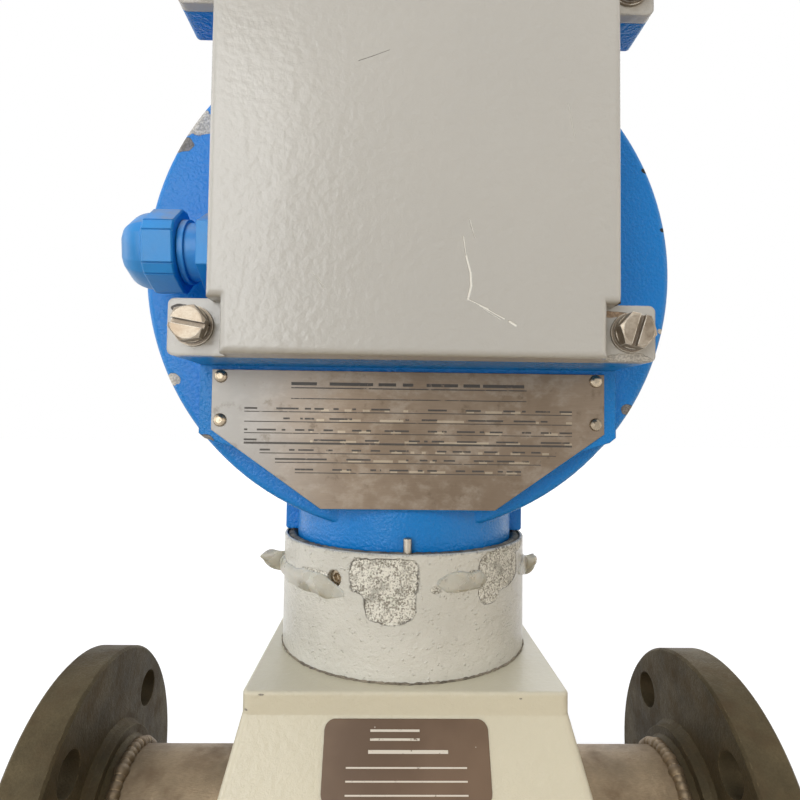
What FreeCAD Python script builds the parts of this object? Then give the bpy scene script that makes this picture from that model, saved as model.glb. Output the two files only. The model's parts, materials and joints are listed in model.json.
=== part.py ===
import FreeCAD, Part
import math
import os

# Flanged electromagnetic flow meter with a swivelling converter head.
# Millimetres. X runs along the pipe, -Y is the front with the terminal cover, +Z is up.
# The origin lies on the pipe's axis, halfway between the two flange faces.

V = FreeCAD.Vector
X_AXIS = V(1, 0, 0)
Y_AXIS = V(0, 1, 0)
Z_AXIS = V(0, 0, 1)

# Process line: tube, liner and class 150 slip-on flanges for an inch and a half pipe.
LAYING_LENGTH = 280.0
BORE_DIAMETER = 38.0
TUBE_OUTER_DIAMETER = 48.3
TUBE_WALL = 2.6
LINER_LIP = 2.0
FLANGE_DIAMETER = 127.0
FLANGE_THICKNESS = 17.5
RAISED_FACE_DIAMETER = 73.0
RAISED_FACE_HEIGHT = 1.6
BOLT_CIRCLE = 98.4
BOLT_COUNT = 4
BOLT_HOLE_DIAMETER = 15.9
FLANGE_HUB_DIAMETER = 65.0
FLANGE_HUB_LENGTH = 4.5
WELD_LEG = 4.0
FLANGE_BORE_GAP = 0.4
FLANGE_RIM_BEVEL = 1.0
HUB_BEVEL = 1.5
HUB_RIM_DROP = 1.0

# Electrodes and field coils round the tube.
ELECTRODE_RADIUS = 2.5
ELECTRODE_HEAD_RADIUS = 4.0
ELECTRODE_HEAD_DEPTH = 1.6
ELECTRODE_STICKOUT = 9.0
BUSH_RADIUS = 4.5
BUSH_FLANGE_RADIUS = 7.0
BUSH_FLANGE = 2.0
ELECTRODE_NUT_FLATS = 8.0
ELECTRODE_NUT_HEIGHT = 4.0
POLE_GAP = 0.2
POLE_THICKNESS = 3.0
POLE_HALF_ANGLE = 46.0
POLE_LENGTH = 50.0
POST_LENGTH = 24.0
POST_WIDTH = 14.0
COIL_WIDTH = 12.0
COIL_HEIGHT = 13.0
COIL_GAP = 0.5
YOKE_THICKNESS = 3.0
YOKE_WIDTH = 24.0
YOKE_HALF_SPAN = 41.0
YOKE_HALF_HEIGHT = 48.0

# Sensor housing: two castings that meet on the pipe's axis.
HOUSING_TOP = 73.5
HOUSING_BAND = 7.5
HOUSING_TOP_LENGTH = 109.0
HOUSING_TOP_WIDTH = 111.0
SHOULDER_HEIGHT = 40.0
HOUSING_LENGTH = 120.0
HOUSING_WIDTH = 140.0
HOUSING_BASE = 60.0
HOUSING_WALL = 5.0
HOUSING_CORNER = 3.0
PARTING_GAP = 1.0
PARTING_LIP = 12.0
PARTING_LIP_THICKNESS = 6.0
HOUSING_BOLT_RADIUS = 3.0
HOUSING_BOLT_SPACING = 42.0
HOUSING_TUBE_GAP = 0.1
HOUSING_TOP_ROUND = 1.2
HOUSING_BOLT_FLATS = 10.0
HOUSING_BOLT_HEAD = 4.0
HOUSING_BOLT_END = 8.0
HOUSING_NUT_HEIGHT = 5.0
LABEL_LENGTH = 53.5
LABEL_HEIGHT = 24.0
LABEL_THICKNESS = 0.4
LABEL_CORNER = 3.5
LABEL_MARGIN = 1.0

# Swivel collar, neck and stop.
COLLAR_RADIUS = 50.0
COLLAR_HEIGHT = 43.8
COLLAR_FLOOR = 6.0
COLLAR_EDGE = 0.5
LEAD_HOLE_RADIUS = 28.0
COLLAR_BOLT_CIRCLE = 70.0
COLLAR_BOLT_COUNT = 4
COLLAR_BOLT_RADIUS = 2.5
COLLAR_BOLT_HEAD_RADIUS = 4.0
COLLAR_BOLT_HEAD = 3.0
NECK_RADIUS = 44.6
NECK_BORE_RADIUS = 37.0
NECK_GAP = 0.25
NECK_FLOOR_GAP = 4.0
SEAL_POCKET_DEPTH = 4.5
SEAL_POCKET_LAND = 1.1
SEAL_HEIGHT = 3.4
GROOVE_DEPTH = 2.0
GROOVE_HALF_WIDTH = 3.0
SET_SCREW_DROP = 10.0
SET_SCREW_RADIUS = 3.0
SET_SCREW_ANGLE = 31.0
SET_SCREW_RECESS = 2.0
SET_SCREW_POINT_RADIUS = 2.0
SET_SCREW_TIP_GAP = 0.3
SET_SCREW_SHOULDER_GAP = 0.2
SET_SCREW_SOCKET_FLATS = 3.0
SET_SCREW_SOCKET_DEPTH = 2.0
STOP_PIN_RADIUS = 1.5
STOP_PIN_GAP = 0.8
STOP_PIN_DEPTH = 14.0
STOP_PIN_HEIGHT = 5.2
STOP_PIN_BEVEL = 0.3
TAB_WIDTH = 8.0
TAB_REACH = 5.0
TAB_DROP = 0.7
TAB_LENGTH = 26.0
TAB_ROUND = 1.2
LEAD_PLUG_RISE = 2.0
LEAD_PLUG_THICKNESS = 12.0

# Head housing: drum, nameplate pad and terminal box in one casting.
HEAD_HEIGHT = 220.0
DRUM_RADIUS = 98.0
DRUM_FRONT = -37.0
DRUM_REAR = 50.0
DRUM_WALL = 5.0
DRUM_EDGE = 2.5
DRUM_THREAD_RADIUS = 88.0
DRUM_THREAD_LENGTH = 10.0
PAD_FRONT = -46.0
PAD_HALF_WIDTH = 73.8
PLATE_HALF_WIDTH = 69.3
PLATE_HEIGHT = 48.4
PLATE_SIDE = 21.2
PLATE_FOOT_HALF_WIDTH = 30.6
PLATE_THICKNESS = 0.8
PLATE_DROP = 1.6
PAD_CORNER_DROP = 3.0
PAD_CORNER_RISE = 1.2
PAD_CORNER_CUT = 2.2
PAD_CORNER_INSET = 4.8
PAD_UNDERCUT = 0.8
PAD_FOOT_MARGIN = 0.6
RIVET_RADIUS = 2.3
RIVET_HEIGHT = 1.4
RIVET_SHANK_RADIUS = 1.15
RIVET_CROWN_RADIUS = 1.1
RIVET_SHOULDER_RADIUS = 2.0
RIVET_SHOULDER_HEIGHT = 0.8
RIVET_INSET = 3.0
RIVET_UPPER_DROP = 2.4
RIVET_SPACING = 15.4
BOX_FRONT = -70.5
BOX_HALF_WIDTH = 60.0
BOX_BOTTOM = 182.3
BOX_HEIGHT = 128.0
BOX_WALL = 5.0
EAR_WIDTH = 15.0
EAR_HEIGHT = 17.6
EAR_ROUND = 2.0
UPPER_EAR_DEPTH = 14.0
EAR_SINK = 1.0

# Terminal cover and its screws.
COVER_DEPTH = 13.0
COVER_WALL = 3.0
COVER_OVERHANG = 1.3
COVER_SEAT_GAP = 0.05
COVER_EDGE = 2.0
LUG_THICKNESS = 4.0
NOTCH_DEPTH = 4.3
NOTCH_LAP = 1.0
SCREW_X = 67.0
SCREW_INSET = 9.0
SCREW_RADIUS = 3.0
SCREW_REACH = 12.0
SCREW_HOLE_DEPTH = 16.0
SCREW_HOLE_GAP = 0.3
SCREW_HEAD_FLATS = 10.0
SCREW_HEAD_HEIGHT = 4.4
SCREW_SLOT_WIDTH = 1.6
SCREW_SLOT_DEPTH = 1.8
SCREW_BEVEL_DEPTH = 2.4
SCREW_BEVEL_GROWTH = 3.5
SCREW_BEVEL_INSET = 0.3
SCREW_SLOT_TURNS = (10.0, -73.0, 25.0, -40.0)
WASHER_RADIUS = 6.2
WASHER_THICKNESS = 1.2
SPRING_WASHER_RADIUS = 5.3
SPRING_WASHER_THICKNESS = 1.5
SPRING_WASHER_SPLIT = 0.8
GASKET_WIDTH = 2.4
GASKET_DEPTH = 1.8
GASKET_GAP = 0.1

# Cable gland on the box's left side.
GLAND_Y = -57.0
GLAND_RISE = 36.7
GLAND_THREAD_RADIUS = 10.0
GLAND_HEX_FLATS = 24.0
GLAND_HEX_LENGTH = 8.0
GLAND_HEX_TURN = 30.0
GLAND_SHANK_INSIDE = 3.0
GLAND_RING_THICKNESS = 1.0
GLAND_RING_INSET = 0.5
GLAND_BARREL_RADIUS = 9.6
GLAND_FLANGE_RADIUS = 10.6
GLAND_FLANGE_WIDTH = 2.0
GLAND_BARREL_LENGTH = 18.0
GLAND_BORE_RADIUS = 7.5
GLAND_NUT_FLATS = 27.0
GLAND_NUT_FLAT_WIDTH = 11.0
GLAND_NUT_TURN = 8.5
GLAND_NUT_START = 16.0
GLAND_NUT_HEX_LENGTH = 9.8
GLAND_DOME_LENGTH = 8.9
GLAND_DOME_INSET = 0.2
GLAND_DOME_STEPS = 6
GLAND_MOUTH_RADIUS = 6.3
GLAND_NUT_GAP = 0.3
CABLE_RADIUS = 5.5
GLAND_SEAL_LENGTH = 9.0
GLAND_WASHER_THICKNESS = 1.2
GLAND_WASHER_INSET = 0.4
GLAND_WASHER_GAP = 0.1

# Rear cover.
REAR_FLANGE_THICKNESS = 8.0
REAR_SEAT_GAP = 0.3
REAR_THREAD_GAP = 0.3
REAR_WALL = 5.0
REAR_DOME_RADIUS = 86.0
REAR_DOME_HEIGHT = 6.0
REAR_GRIP_COUNT = 8
REAR_GRIP_WIDTH = 12.0
REAR_SEAL_RADIUS = 91.6
REAR_SEAL_WIDTH = 2.8
REAR_SEAL_HEIGHT = 2.6
REAR_SEAL_GAP = 0.1
REAR_SPIGOT_GAP = 0.5
REAR_RIM_INSET = 1.0
REAR_RIM_BEVEL = 1.0
REAR_DOME_FOOT = 4.0
REAR_DOME_EDGE_DROP = 2.0
REAR_DOME_EDGE_INSET = 6.0

# Converter module inside the drum.
CARRIER_RADIUS = 82.0
CARRIER_THICKNESS = 2.0
CARRIER_LIFT = 8.0
CARRIER_BOSS_RADIUS = 6.0
CARRIER_BOSS_CIRCLE = 70.0
CARRIER_BOSS_COUNT = 4
CARRIER_SLOT_HALF_WIDTH = 24.0
CARRIER_SLOT_GAP = 4.0
BOARD_WIDTH = 116.0
BOARD_HEIGHT = 92.0
BOARD_THICKNESS = 1.6
BOARD_PITCH = 20.0
BOARD_COUNT = 2
BOARD_HOLE_INSET = 6.0
SPACER_RADIUS = 3.0
MODULE_SCREW_RADIUS = 1.5
MODULE_SCREW_HEAD_RADIUS = 2.8
MODULE_SCREW_HEAD_HEIGHT = 1.8
TRANSFORMER_X = -29.0
TRANSFORMER_DROP = 3.0
TRANSFORMER_GAP = 2.0
CORE_HALF_WIDTH = 15.0
CORE_HALF_HEIGHT = 17.0
BOBBIN_HALF_WIDTH = 11.0
BOBBIN_HALF_HEIGHT = 24.0
BOBBIN_DROP = 1.0

# Larger components on each board: x, z, width, height and rise.
MAIN_BOARD_PARTS = (
    (-30, 20, 28, 28, 4), (20, 22, 40, 12, 9), (25, -15, 22, 22, 3), (-25, -22, 14, 30, 6),
)
POWER_BOARD_PARTS = (
    (-34, 18, 20, 24, 8), (10, 24, 50, 10, 6), (30, -18, 26, 18, 8), (-20, -24, 30, 10, 5),
)

# Terminals.
STRIP_LENGTH = 84.0
STRIP_DEPTH = 16.0
STRIP_HEIGHT = 15.0
STRIP_POLES = 8
STRIP_RISES = (91.7, 65.7)
STRIP_WALL = 1.0
STRIP_SEAT_DEPTH = 4.0
STRIP_ENTRY_START = 6.0
STRIP_ENTRY_END = 12.0
STRIP_ENTRY_HEIGHT = 6.0
TERMINAL_SCREW_RADIUS = 2.2
TERMINAL_SCREW_HEIGHT = 2.0
TERMINAL_SCREW_RISE = 2.0
TERMINAL_SLOT_WIDTH = 0.8
TERMINAL_SLOT_DEPTH = 0.8
EARTH_SCREW_RADIUS = 2.5
EARTH_SCREW_X = 30.0
EARTH_SADDLE_RADIUS = 6.0
EARTH_SADDLE_THICKNESS = 1.5
EARTH_NECK_LENGTH = 2.5
EARTH_HEAD_FLATS = 8.0
EARTH_HEAD_HEIGHT = 4.0
EARTH_SLOT_WIDTH = 1.2
EARTH_SLOT_DEPTH = 1.4
LEAD_BUSH_RADIUS = 7.0
LEAD_BUSH_X = -20.0
LEAD_BUSH_LIP = 2.0
LEAD_BUSH_HEAD = 3.0
BACK_WALL_ROW_RISE = 16.0

# Working allowances of the model itself.
CUT_OVERRUN = 1.0
FUSE_LAP = 0.5
NEAR = 0.01
ALONG_ANGLE = 25.0

# Values worked out from those above.
TUBE_RADIUS = TUBE_OUTER_DIAMETER / 2
TUBE_BORE_RADIUS = TUBE_RADIUS - TUBE_WALL
FLOW_RADIUS = BORE_DIAMETER / 2
FACE_X = LAYING_LENGTH / 2 - LINER_LIP
FLANGE_BACK_X = FACE_X - FLANGE_THICKNESS
RAISED_FACE_RADIUS = RAISED_FACE_DIAMETER / 2
BUSH_SEAT = TUBE_RADIUS + POLE_GAP
BUSH_END = BUSH_SEAT + BUSH_FLANGE
ELECTRODE_END = TUBE_RADIUS + ELECTRODE_STICKOUT
POLE_INNER = TUBE_RADIUS + POLE_GAP
POLE_OUTER = POLE_INNER + POLE_THICKNESS
POST_TOP = YOKE_HALF_HEIGHT - YOKE_THICKNESS
COIL_BASE = POLE_OUTER + COIL_GAP
BAND_BOTTOM = HOUSING_TOP - HOUSING_BAND
COLLAR_BOTTOM = HOUSING_TOP
COLLAR_TOP = COLLAR_BOTTOM + COLLAR_HEIGHT
NECK_BOTTOM = COLLAR_BOTTOM + COLLAR_FLOOR + NECK_FLOOR_GAP
SEAL_POCKET_RADIUS = COLLAR_RADIUS - SEAL_POCKET_LAND
SEAL_BOTTOM = COLLAR_TOP - SEAL_POCKET_DEPTH
SET_SCREW_HEIGHT = COLLAR_TOP - SET_SCREW_DROP
STOP_PIN_Y = -(NECK_RADIUS + STOP_PIN_GAP + STOP_PIN_RADIUS)
DRUM_BORE_RADIUS = DRUM_RADIUS - DRUM_WALL
BOX_TOP = BOX_BOTTOM + BOX_HEIGHT
PLATE_TOP = BOX_BOTTOM - PLATE_DROP
COVER_HALF_WIDTH = BOX_HALF_WIDTH + COVER_OVERHANG
COVER_REAR = BOX_FRONT - COVER_SEAT_GAP
COVER_FRONT = COVER_REAR - COVER_DEPTH
LUG_FRONT = COVER_REAR - LUG_THICKNESS
SCREW_HEIGHTS = (BOX_BOTTOM + SCREW_INSET, BOX_TOP - SCREW_INSET)
EAR_OUTER = BOX_HALF_WIDTH + EAR_WIDTH
CARRIER_FRONT = DRUM_FRONT + DRUM_WALL + CARRIER_LIFT
CARRIER_REAR = CARRIER_FRONT + CARRIER_THICKNESS
GLAND_Z = BOX_BOTTOM + GLAND_RISE
STRIP_CENTRES = [BOX_BOTTOM + rise for rise in STRIP_RISES]
BACK_WALL_ROW_Z = BOX_BOTTOM + BOX_WALL + BACK_WALL_ROW_RISE
GLAND_MOUTH = GLAND_RING_THICKNESS + GLAND_HEX_LENGTH + GLAND_BARREL_LENGTH
STRIP_PITCH = STRIP_LENGTH / STRIP_POLES
HEX_CORNER = 2 / math.sqrt(3)


def box(x_span, y_span, z_span):
    """A block between three pairs of limits."""
    size = [high - low for low, high in (x_span, y_span, z_span)]
    return Part.makeBox(size[0], size[1], size[2], V(x_span[0], y_span[0], z_span[0]))


def rod(radius, start, end):
    """A round rod from one centre point to another."""
    run = end - start
    return Part.makeCylinder(radius, run.Length, start, run)


def tube(outer, inner, start, end):
    """A round tube from one centre point to another."""
    return rod(outer, start, end).cut(rod(inner, start, end))


def cone(start_radius, end_radius, start, end):
    """A cone frustum from one centre point to another."""
    run = end - start
    return Part.makeCone(start_radius, end_radius, run.Length, start, run)


def prism(points, run):
    """A straight prism on a closed outline."""
    outline = Part.makePolygon(points + [points[0]])
    return Part.Face(outline).extrude(run)


def turned(points, centre, axis):
    """A closed outline turned once round an axis."""
    outline = Part.makePolygon(points + [points[0]])
    return Part.Face(outline).revolve(centre, axis, 360)


def hexagon(flats, start, end, turn=0.0):
    """A hexagonal bar, by its width across flats."""
    run = end - start
    corner = flats / 2 * HEX_CORNER
    side = run.cross(Z_AXIS)
    if side.Length < NEAR:
        side = V(X_AXIS)
    side.normalize()
    points = []
    for step in range(6):
        turned_side = FreeCAD.Rotation(run, 60.0 * step + turn).multVec(side)
        points.append(start + turned_side * corner)
    return prism(points, run)


def joined(shapes):
    """One solid from overlapping shapes."""
    first = shapes[0]
    return first.fuse(shapes[1:]).removeSplitter()


def group(shapes):
    """Separate solids kept together in one node."""
    return Part.makeCompound(shapes)


def mirrored_x(shape):
    return shape.mirror(V(0, 0, 0), X_AXIS)


def turned_copies(shape, centre, axis, count):
    """Evenly spaced copies round an axis."""
    copies = []
    for step in range(count):
        copy = shape.copy()
        copy.rotate(centre, axis, 360.0 / count * step)
        copies.append(copy)
    return copies


def rounded_rectangle(half_x, half_y, z, radius):
    """A level wire with rounded corners, always in the same order of edges."""
    edges = []
    corners = ((1, -1, -90), (1, 1, 0), (-1, 1, 90), (-1, -1, 180))
    ends = []
    for sign_x, sign_y, start in corners:
        centre = V(sign_x * (half_x - radius), sign_y * (half_y - radius), z)
        arc = Part.ArcOfCircle(Part.Circle(centre, Z_AXIS, radius),
                               math.radians(start), math.radians(start + 90)).toShape()
        ends.append((arc.firstVertex().Point, arc.lastVertex().Point, arc))
    for index, (first, last, arc) in enumerate(ends):
        edges.append(arc)
        following = ends[(index + 1) % len(ends)][0]
        edges.append(Part.makeLine(last, following))
    return Part.Wire(edges)


def runs_along(edge, axis):
    """True for an edge that starts within a small angle of an axis."""
    return abs(edge.tangentAt(0).dot(axis)) > math.cos(math.radians(ALONG_ANGLE))


def on_head(y, radius):
    """A point of a profile that is turned round the drum's axis."""
    return V(0, y, HEAD_HEIGHT + radius)


# ---------------------------------------------------------------- process line

def make_measuring_tube():
    body = tube(TUBE_RADIUS, TUBE_BORE_RADIUS, V(-FACE_X, 0, 0), V(FACE_X, 0, 0))
    return body.cut(rod(BUSH_RADIUS, V(0, -TUBE_OUTER_DIAMETER, 0), V(0, TUBE_OUTER_DIAMETER, 0)))


def make_liner():
    end = LAYING_LENGTH / 2
    profile = [
        V(-end, 0, FLOW_RADIUS), V(end, 0, FLOW_RADIUS), V(end, 0, RAISED_FACE_RADIUS),
        V(FACE_X, 0, RAISED_FACE_RADIUS), V(FACE_X, 0, TUBE_BORE_RADIUS),
        V(-FACE_X, 0, TUBE_BORE_RADIUS), V(-FACE_X, 0, RAISED_FACE_RADIUS),
        V(-end, 0, RAISED_FACE_RADIUS),
    ]
    liner = turned(profile, V(0, 0, 0), X_AXIS)
    for side in (-1, 1):
        liner = liner.cut(electrode(side))
    return liner


def flange():
    """The flange at the +X end: raised face, drilled disc, hub and weld."""
    bore = TUBE_RADIUS + FLANGE_BORE_GAP
    hub = FLANGE_HUB_DIAMETER / 2
    hub_end = FLANGE_BACK_X - FLANGE_HUB_LENGTH
    outer = FLANGE_DIAMETER / 2
    step = FACE_X - RAISED_FACE_HEIGHT
    profile = [
        V(FACE_X, 0, bore), V(FACE_X, 0, RAISED_FACE_RADIUS), V(step, 0, RAISED_FACE_RADIUS),
        V(step, 0, outer - FLANGE_RIM_BEVEL), V(step - FLANGE_RIM_BEVEL, 0, outer),
        V(FLANGE_BACK_X + FLANGE_RIM_BEVEL, 0, outer), V(FLANGE_BACK_X, 0, outer - FLANGE_RIM_BEVEL),
        V(FLANGE_BACK_X, 0, hub + HUB_BEVEL), V(FLANGE_BACK_X - HUB_BEVEL, 0, hub),
        V(hub_end, 0, hub - HUB_RIM_DROP), V(hub_end, 0, TUBE_RADIUS + WELD_LEG),
        V(hub_end - WELD_LEG, 0, TUBE_RADIUS), V(hub_end, 0, TUBE_RADIUS), V(hub_end, 0, bore),
    ]
    body = turned(profile, V(0, 0, 0), X_AXIS)
    hole = rod(BOLT_HOLE_DIAMETER / 2, V(FLANGE_BACK_X - CUT_OVERRUN, 0, BOLT_CIRCLE / 2),
               V(FACE_X + CUT_OVERRUN, 0, BOLT_CIRCLE / 2))
    hole.rotate(V(0, 0, 0), X_AXIS, 180.0 / BOLT_COUNT)
    for cut in turned_copies(hole, V(0, 0, 0), X_AXIS, BOLT_COUNT):
        body = body.cut(cut)
    return body


def electrode(side):
    """A shank with a flat head that lies flush with the liner's bore."""
    head_start = V(0, side * (FLOW_RADIUS - CUT_OVERRUN), 0)
    head_end = V(0, side * (FLOW_RADIUS + ELECTRODE_HEAD_DEPTH), 0)
    head = rod(ELECTRODE_HEAD_RADIUS, head_start, head_end)
    head = head.cut(rod(FLOW_RADIUS, V(-BORE_DIAMETER, 0, 0), V(BORE_DIAMETER, 0, 0)))
    shank = rod(ELECTRODE_RADIUS, head_end, V(0, side * ELECTRODE_END, 0))
    return head.fuse(shank).removeSplitter()


def electrode_bush(side):
    """An insulating bush whose flange sits on the tube."""
    start = V(0, side * TUBE_BORE_RADIUS, 0)
    seat = V(0, side * BUSH_SEAT, 0)
    end = V(0, side * BUSH_END, 0)
    body = rod(BUSH_RADIUS, start, end).fuse(rod(BUSH_FLANGE_RADIUS, seat, end))
    body = body.cut(rod(TUBE_BORE_RADIUS, V(-BORE_DIAMETER, 0, 0), V(BORE_DIAMETER, 0, 0)))
    return body.cut(rod(ELECTRODE_RADIUS, V(0, 0, 0), end)).removeSplitter()


def electrode_nut(side):
    start = V(0, side * BUSH_END, 0)
    end = V(0, side * (BUSH_END + ELECTRODE_NUT_HEIGHT), 0)
    return hexagon(ELECTRODE_NUT_FLATS, start, end).cut(rod(ELECTRODE_RADIUS, start, end))


def make_pole_shoe(side):
    """A saddle over the tube with the post that carries the coil."""
    half = POLE_LENGTH / 2
    saddle = tube(POLE_OUTER, POLE_INNER, V(-half, 0, 0), V(half, 0, 0))
    reach = 2 * POLE_OUTER
    edge = reach * math.tan(math.radians(POLE_HALF_ANGLE))
    wedge = prism([V(-half, 0, 0), V(-half, edge, side * reach), V(-half, -edge, side * reach)],
                  V(POLE_LENGTH, 0, 0))
    span = (POLE_INNER + POLE_THICKNESS / 2, POST_TOP)
    if side < 0:
        span = (-POST_TOP, -span[0])
    post = box((-POST_LENGTH / 2, POST_LENGTH / 2), (-POST_WIDTH / 2, POST_WIDTH / 2), span)
    return saddle.common(wedge).fuse(post).removeSplitter()


def make_coil(side):
    """A racetrack winding round the post."""
    inner_x = POST_LENGTH / 2 + COIL_GAP
    inner_y = POST_WIDTH / 2 + COIL_GAP
    base = COIL_BASE if side > 0 else -COIL_BASE - COIL_HEIGHT
    outer = Part.Face(rounded_rectangle(inner_x + COIL_WIDTH, inner_y + COIL_WIDTH, base,
                                        COIL_WIDTH))
    hole = Part.Face(rounded_rectangle(inner_x, inner_y, base, COIL_GAP * 2))
    return outer.cut(hole).extrude(V(0, 0, COIL_HEIGHT))


def make_yoke():
    """A closed steel strap that joins the two posts round the tube."""
    x_span = (-YOKE_WIDTH / 2, YOKE_WIDTH / 2)
    outer = box(x_span, (-YOKE_HALF_SPAN, YOKE_HALF_SPAN), (-YOKE_HALF_HEIGHT, YOKE_HALF_HEIGHT))
    inner_y = YOKE_HALF_SPAN - YOKE_THICKNESS
    return outer.cut(box(x_span, (-inner_y, inner_y), (-POST_TOP, POST_TOP)))


# ---------------------------------------------------------------- sensor housing

def shell_form(heights, inset):
    """Straight-sided casting form through level sections: (height, half length, half width)."""
    wires = []
    for z, half_x, half_y in heights:
        wires.append(rounded_rectangle(half_x - inset, half_y - inset, z, HOUSING_CORNER))
    return Part.makeLoft(wires, True, True)


def parting_flange(z_span):
    """The lip along both long sides, drilled for the housing bolts."""
    reach = HOUSING_WIDTH / 2 + PARTING_LIP
    lip = box((-HOUSING_LENGTH / 2, HOUSING_LENGTH / 2), (-reach, reach), z_span)
    corners = [edge for edge in lip.Edges if runs_along(edge, Z_AXIS)]
    return lip.makeFillet(PARTING_LIP / 2, corners)


def housing_bolt_places():
    row_y = HOUSING_WIDTH / 2 + PARTING_LIP / 2
    return [(x, y) for y in (-row_y, row_y)
            for x in (-HOUSING_BOLT_SPACING, 0.0, HOUSING_BOLT_SPACING)]


def drilled(shape, z_span):
    for x, y in housing_bolt_places():
        shape = shape.cut(rod(HOUSING_BOLT_RADIUS, V(x, y, z_span[0]), V(x, y, z_span[1])))
    return shape


def make_housing_upper():
    """Flat-topped casting with a band, a flared shoulder and half bores for the tube."""
    base = PARTING_GAP / 2
    top = (HOUSING_TOP_LENGTH / 2, HOUSING_TOP_WIDTH / 2)
    wide = (HOUSING_LENGTH / 2, HOUSING_WIDTH / 2)
    outer = shell_form([(base,) + wide, (SHOULDER_HEIGHT,) + wide, (BAND_BOTTOM,) + top,
                        (HOUSING_TOP,) + top], 0)
    rim = [edge for edge in outer.Edges
           if edge.BoundBox.ZMin > HOUSING_TOP - NEAR and edge.Length > HOUSING_CORNER]
    outer = outer.makeFillet(HOUSING_TOP_ROUND, rim)
    lip_span = (base, base + PARTING_LIP_THICKNESS)
    cavity = shell_form([(base,) + wide, (SHOULDER_HEIGHT,) + wide, (BAND_BOTTOM,) + top,
                         (HOUSING_TOP - HOUSING_WALL,) + top], HOUSING_WALL)
    body = outer.fuse(parting_flange(lip_span)).cut(cavity)
    body = body.cut(rod(LEAD_HOLE_RADIUS, V(0, 0, HOUSING_TOP - HOUSING_WALL),
                        V(0, 0, HOUSING_TOP)))
    for bolt in collar_bolt_shanks():
        body = body.cut(bolt)
    reach = HOUSING_LENGTH
    body = body.cut(rod(TUBE_RADIUS + HOUSING_TUBE_GAP, V(-reach, 0, 0), V(reach, 0, 0)))
    return drilled(body, lip_span).removeSplitter()


def make_housing_lower():
    """Plain pan that closes the housing below the pipe's axis."""
    base = -PARTING_GAP / 2
    top = (HOUSING_TOP_LENGTH / 2, HOUSING_TOP_WIDTH / 2)
    wide = (HOUSING_LENGTH / 2, HOUSING_WIDTH / 2)
    outer = shell_form([(-HOUSING_BASE,) + top, (-SHOULDER_HEIGHT,) + wide, (base,) + wide], 0)
    cavity = shell_form([(-HOUSING_BASE + HOUSING_WALL,) + top, (-SHOULDER_HEIGHT,) + wide,
                         (base,) + wide], HOUSING_WALL)
    lip_span = (base - PARTING_LIP_THICKNESS, base)
    body = outer.fuse(parting_flange(lip_span)).cut(cavity)
    reach = HOUSING_LENGTH
    body = body.cut(rod(TUBE_RADIUS + HOUSING_TUBE_GAP, V(-reach, 0, 0), V(reach, 0, 0)))
    return drilled(body, lip_span).removeSplitter()


def make_housing_gasket():
    """Flat gasket between the two castings, split where the tube passes."""
    half = PARTING_GAP / 2
    span = (-half, half)
    gasket = parting_flange(span)
    inner_x = HOUSING_LENGTH / 2 - HOUSING_WALL
    inner_y = HOUSING_WIDTH / 2 - HOUSING_WALL
    gasket = gasket.cut(box((-inner_x, inner_x), (-inner_y, inner_y), span))
    reach = HOUSING_LENGTH
    gasket = gasket.cut(rod(TUBE_RADIUS + HOUSING_TUBE_GAP, V(-reach, 0, 0), V(reach, 0, 0)))
    return drilled(gasket, span)


def make_housing_bolts():
    """Hexagon bolts that clamp the two castings."""
    top = PARTING_GAP / 2 + PARTING_LIP_THICKNESS
    bolts = []
    for x, y in housing_bolt_places():
        shank = rod(HOUSING_BOLT_RADIUS, V(x, y, -top - HOUSING_BOLT_END), V(x, y, top))
        head = hexagon(HOUSING_BOLT_FLATS, V(x, y, top), V(x, y, top + HOUSING_BOLT_HEAD))
        bolts.append(shank.fuse(head).removeSplitter())
    return group(bolts)


def make_housing_nuts():
    bottom = -(PARTING_GAP / 2 + PARTING_LIP_THICKNESS)
    nuts = []
    for x, y in housing_bolt_places():
        start = V(x, y, bottom - HOUSING_NUT_HEIGHT)
        end = V(x, y, bottom)
        nuts.append(hexagon(HOUSING_BOLT_FLATS, start, end).cut(rod(HOUSING_BOLT_RADIUS, start, end)))
    return group(nuts)


def make_sensor_label():
    """Rounded plate on the front shoulder, left bare."""
    rise = BAND_BOTTOM - SHOULDER_HEIGHT
    reach = (HOUSING_WIDTH - HOUSING_TOP_WIDTH) / 2
    angle = math.degrees(math.atan2(rise, reach))
    label = box((-LABEL_LENGTH / 2, LABEL_LENGTH / 2),
                (-LABEL_MARGIN - LABEL_HEIGHT, -LABEL_MARGIN), (0, LABEL_THICKNESS))
    corners = [edge for edge in label.Edges if edge.Length < 2 * LABEL_THICKNESS]
    label = label.makeFillet(LABEL_CORNER, corners)
    label.rotate(V(0, 0, 0), X_AXIS, angle)
    label.translate(V(0, -HOUSING_TOP_WIDTH / 2, BAND_BOTTOM))
    return label


# ---------------------------------------------------------------- collar and stop

def collar_bolt_places():
    points = []
    for step in range(COLLAR_BOLT_COUNT):
        angle = 2 * math.pi * (step + 0.5) / COLLAR_BOLT_COUNT
        radius = COLLAR_BOLT_CIRCLE / 2
        points.append((radius * math.cos(angle), radius * math.sin(angle)))
    return points


def collar_bolt_shanks():
    bottom = HOUSING_TOP - HOUSING_WALL
    return [rod(COLLAR_BOLT_RADIUS, V(x, y, bottom), V(x, y, COLLAR_BOTTOM + COLLAR_FLOOR))
            for x, y in collar_bolt_places()]


def make_collar_bolts():
    """Cap screws that hold the collar on the housing."""
    floor = COLLAR_BOTTOM + COLLAR_FLOOR
    bolts = []
    for (x, y), shank in zip(collar_bolt_places(), collar_bolt_shanks()):
        head = rod(COLLAR_BOLT_HEAD_RADIUS, V(x, y, floor), V(x, y, floor + COLLAR_BOLT_HEAD))
        bolts.append(shank.fuse(head).removeSplitter())
    return group(bolts)


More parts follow.
